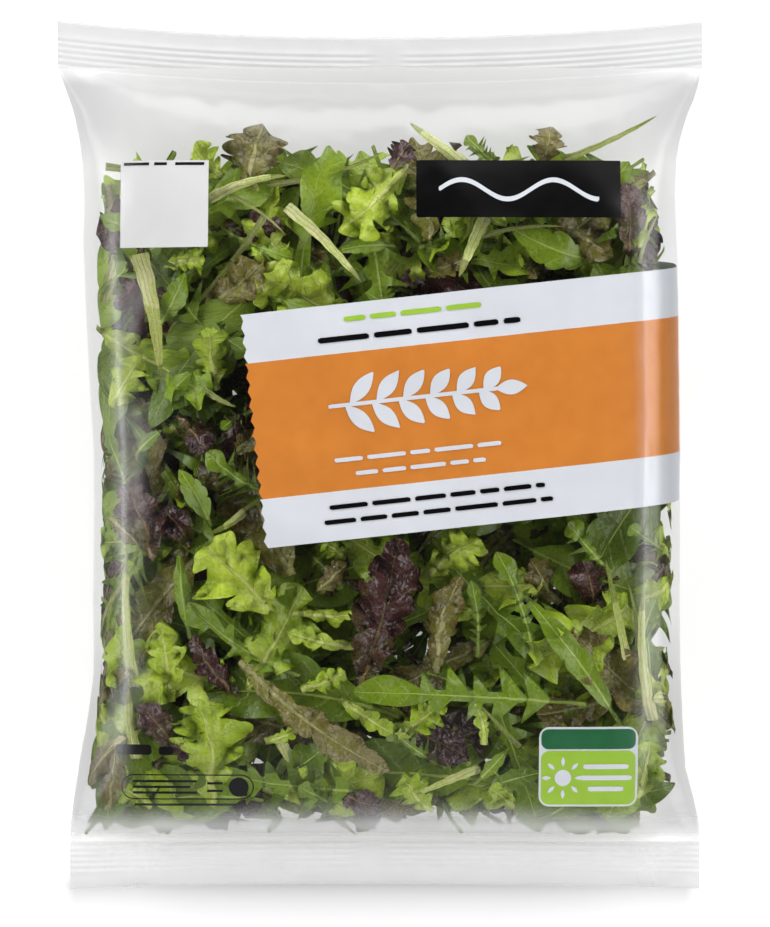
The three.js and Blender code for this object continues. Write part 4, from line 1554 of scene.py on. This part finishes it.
def outline_pieces(loop, thickness):
    """A closed line as short four-sided pieces on the inside of a loop."""
    loop = even_loop(np.array(loop), 1.0)
    centre = loop.mean(0)
    pieces = []
    for a, b in zip(loop, np.roll(loop, -1, axis=0)):
        run = (b - a) / np.hypot(*(b - a))
        side = np.array([-run[1], run[0]])
        side *= thickness * np.sign(side @ (centre - (a + b) / 2))
        pieces.append([tuple(a), tuple(b), tuple(b + side), tuple(a + side)])
    return pieces


def circle(x, y, radius, count=20):
    """A round outline."""
    return [(x + radius * math.cos(a), y + radius * math.sin(a))
            for a in np.linspace(0, 2 * math.pi, count, endpoint=False)]


FACTS = (-59.2, -102.2)
facts_frame = outline_pieces(rectangle(*FACTS, 41.0, 8.0, corner=3.9), 0.4)
facts_bars = [rectangle(FACTS[0] + x, FACTS[1] + y, w, 0.75)
              for x, y, w in ((-7, 1.8, 20), (-8, 0, 18), (-7, -1.8, 20), (8.5, 1.2, 5), (8.5, -1.2, 5),
                              (0, -5.6, 33))]
weight_bars = [rectangle(-75.6, -90.6, 11, 3.2, corner=0.6), rectangle(-65.6, -90.9, 4.6, 2.6, corner=0.6)]
lay_patch("facts_marks", facts_frame + facts_bars + weight_bars + [circle(FACTS[0] + 15.8, FACTS[1], 3.1)],
          UNDER_FILM, DARK_INK, 1.4)

# %% Badge with a sun
BADGE = (63.9, -99.2)  # the middle of its lime part
BADGE_WIDTH = 29.0
lay_patch("badge_border", [rectangle(BADGE[0], BADGE[1] + 3.4, BADGE_WIDTH + 1.4, 25.0, corner=3.2)],
          UNDER_FILM + OVER_PRINT, WHITE_INK)
lay_patch("badge_lime", [rectangle(*BADGE, BADGE_WIDTH, 16.9, corner=2.4)], UNDER_FILM, LIME_INK)
lay_patch("badge_forest", [rectangle(BADGE[0], BADGE[1] + 12.1, BADGE_WIDTH, 6.2, corner=2.0)],
          UNDER_FILM, FOREST_INK)
SUN = (BADGE[0] - 7.8, BADGE[1])
SUN_RADIUS = 2.6
RAYS_FROM = 3.6  # the middle of the sun to the start of a ray
rays = [leaf_mark(SUN[0] + RAYS_FROM * math.cos(a), SUN[1] + RAYS_FROM * math.sin(a), 3.0, 1.3, a)
        for a in np.linspace(0, 2 * math.pi, 8, endpoint=False)]
bars = [rectangle(BADGE[0] + 5.4, BADGE[1] + y, w, 1.5, corner=0.4)
        for y, w in ((3.5, 14), (0, 16), (-3.5, 11))]
lay_patch("badge_marks", rays + [circle(*SUN, SUN_RADIUS)] + bars, UNDER_FILM - OVER_PRINT, WHITE_INK,
          LINE_SPACING)
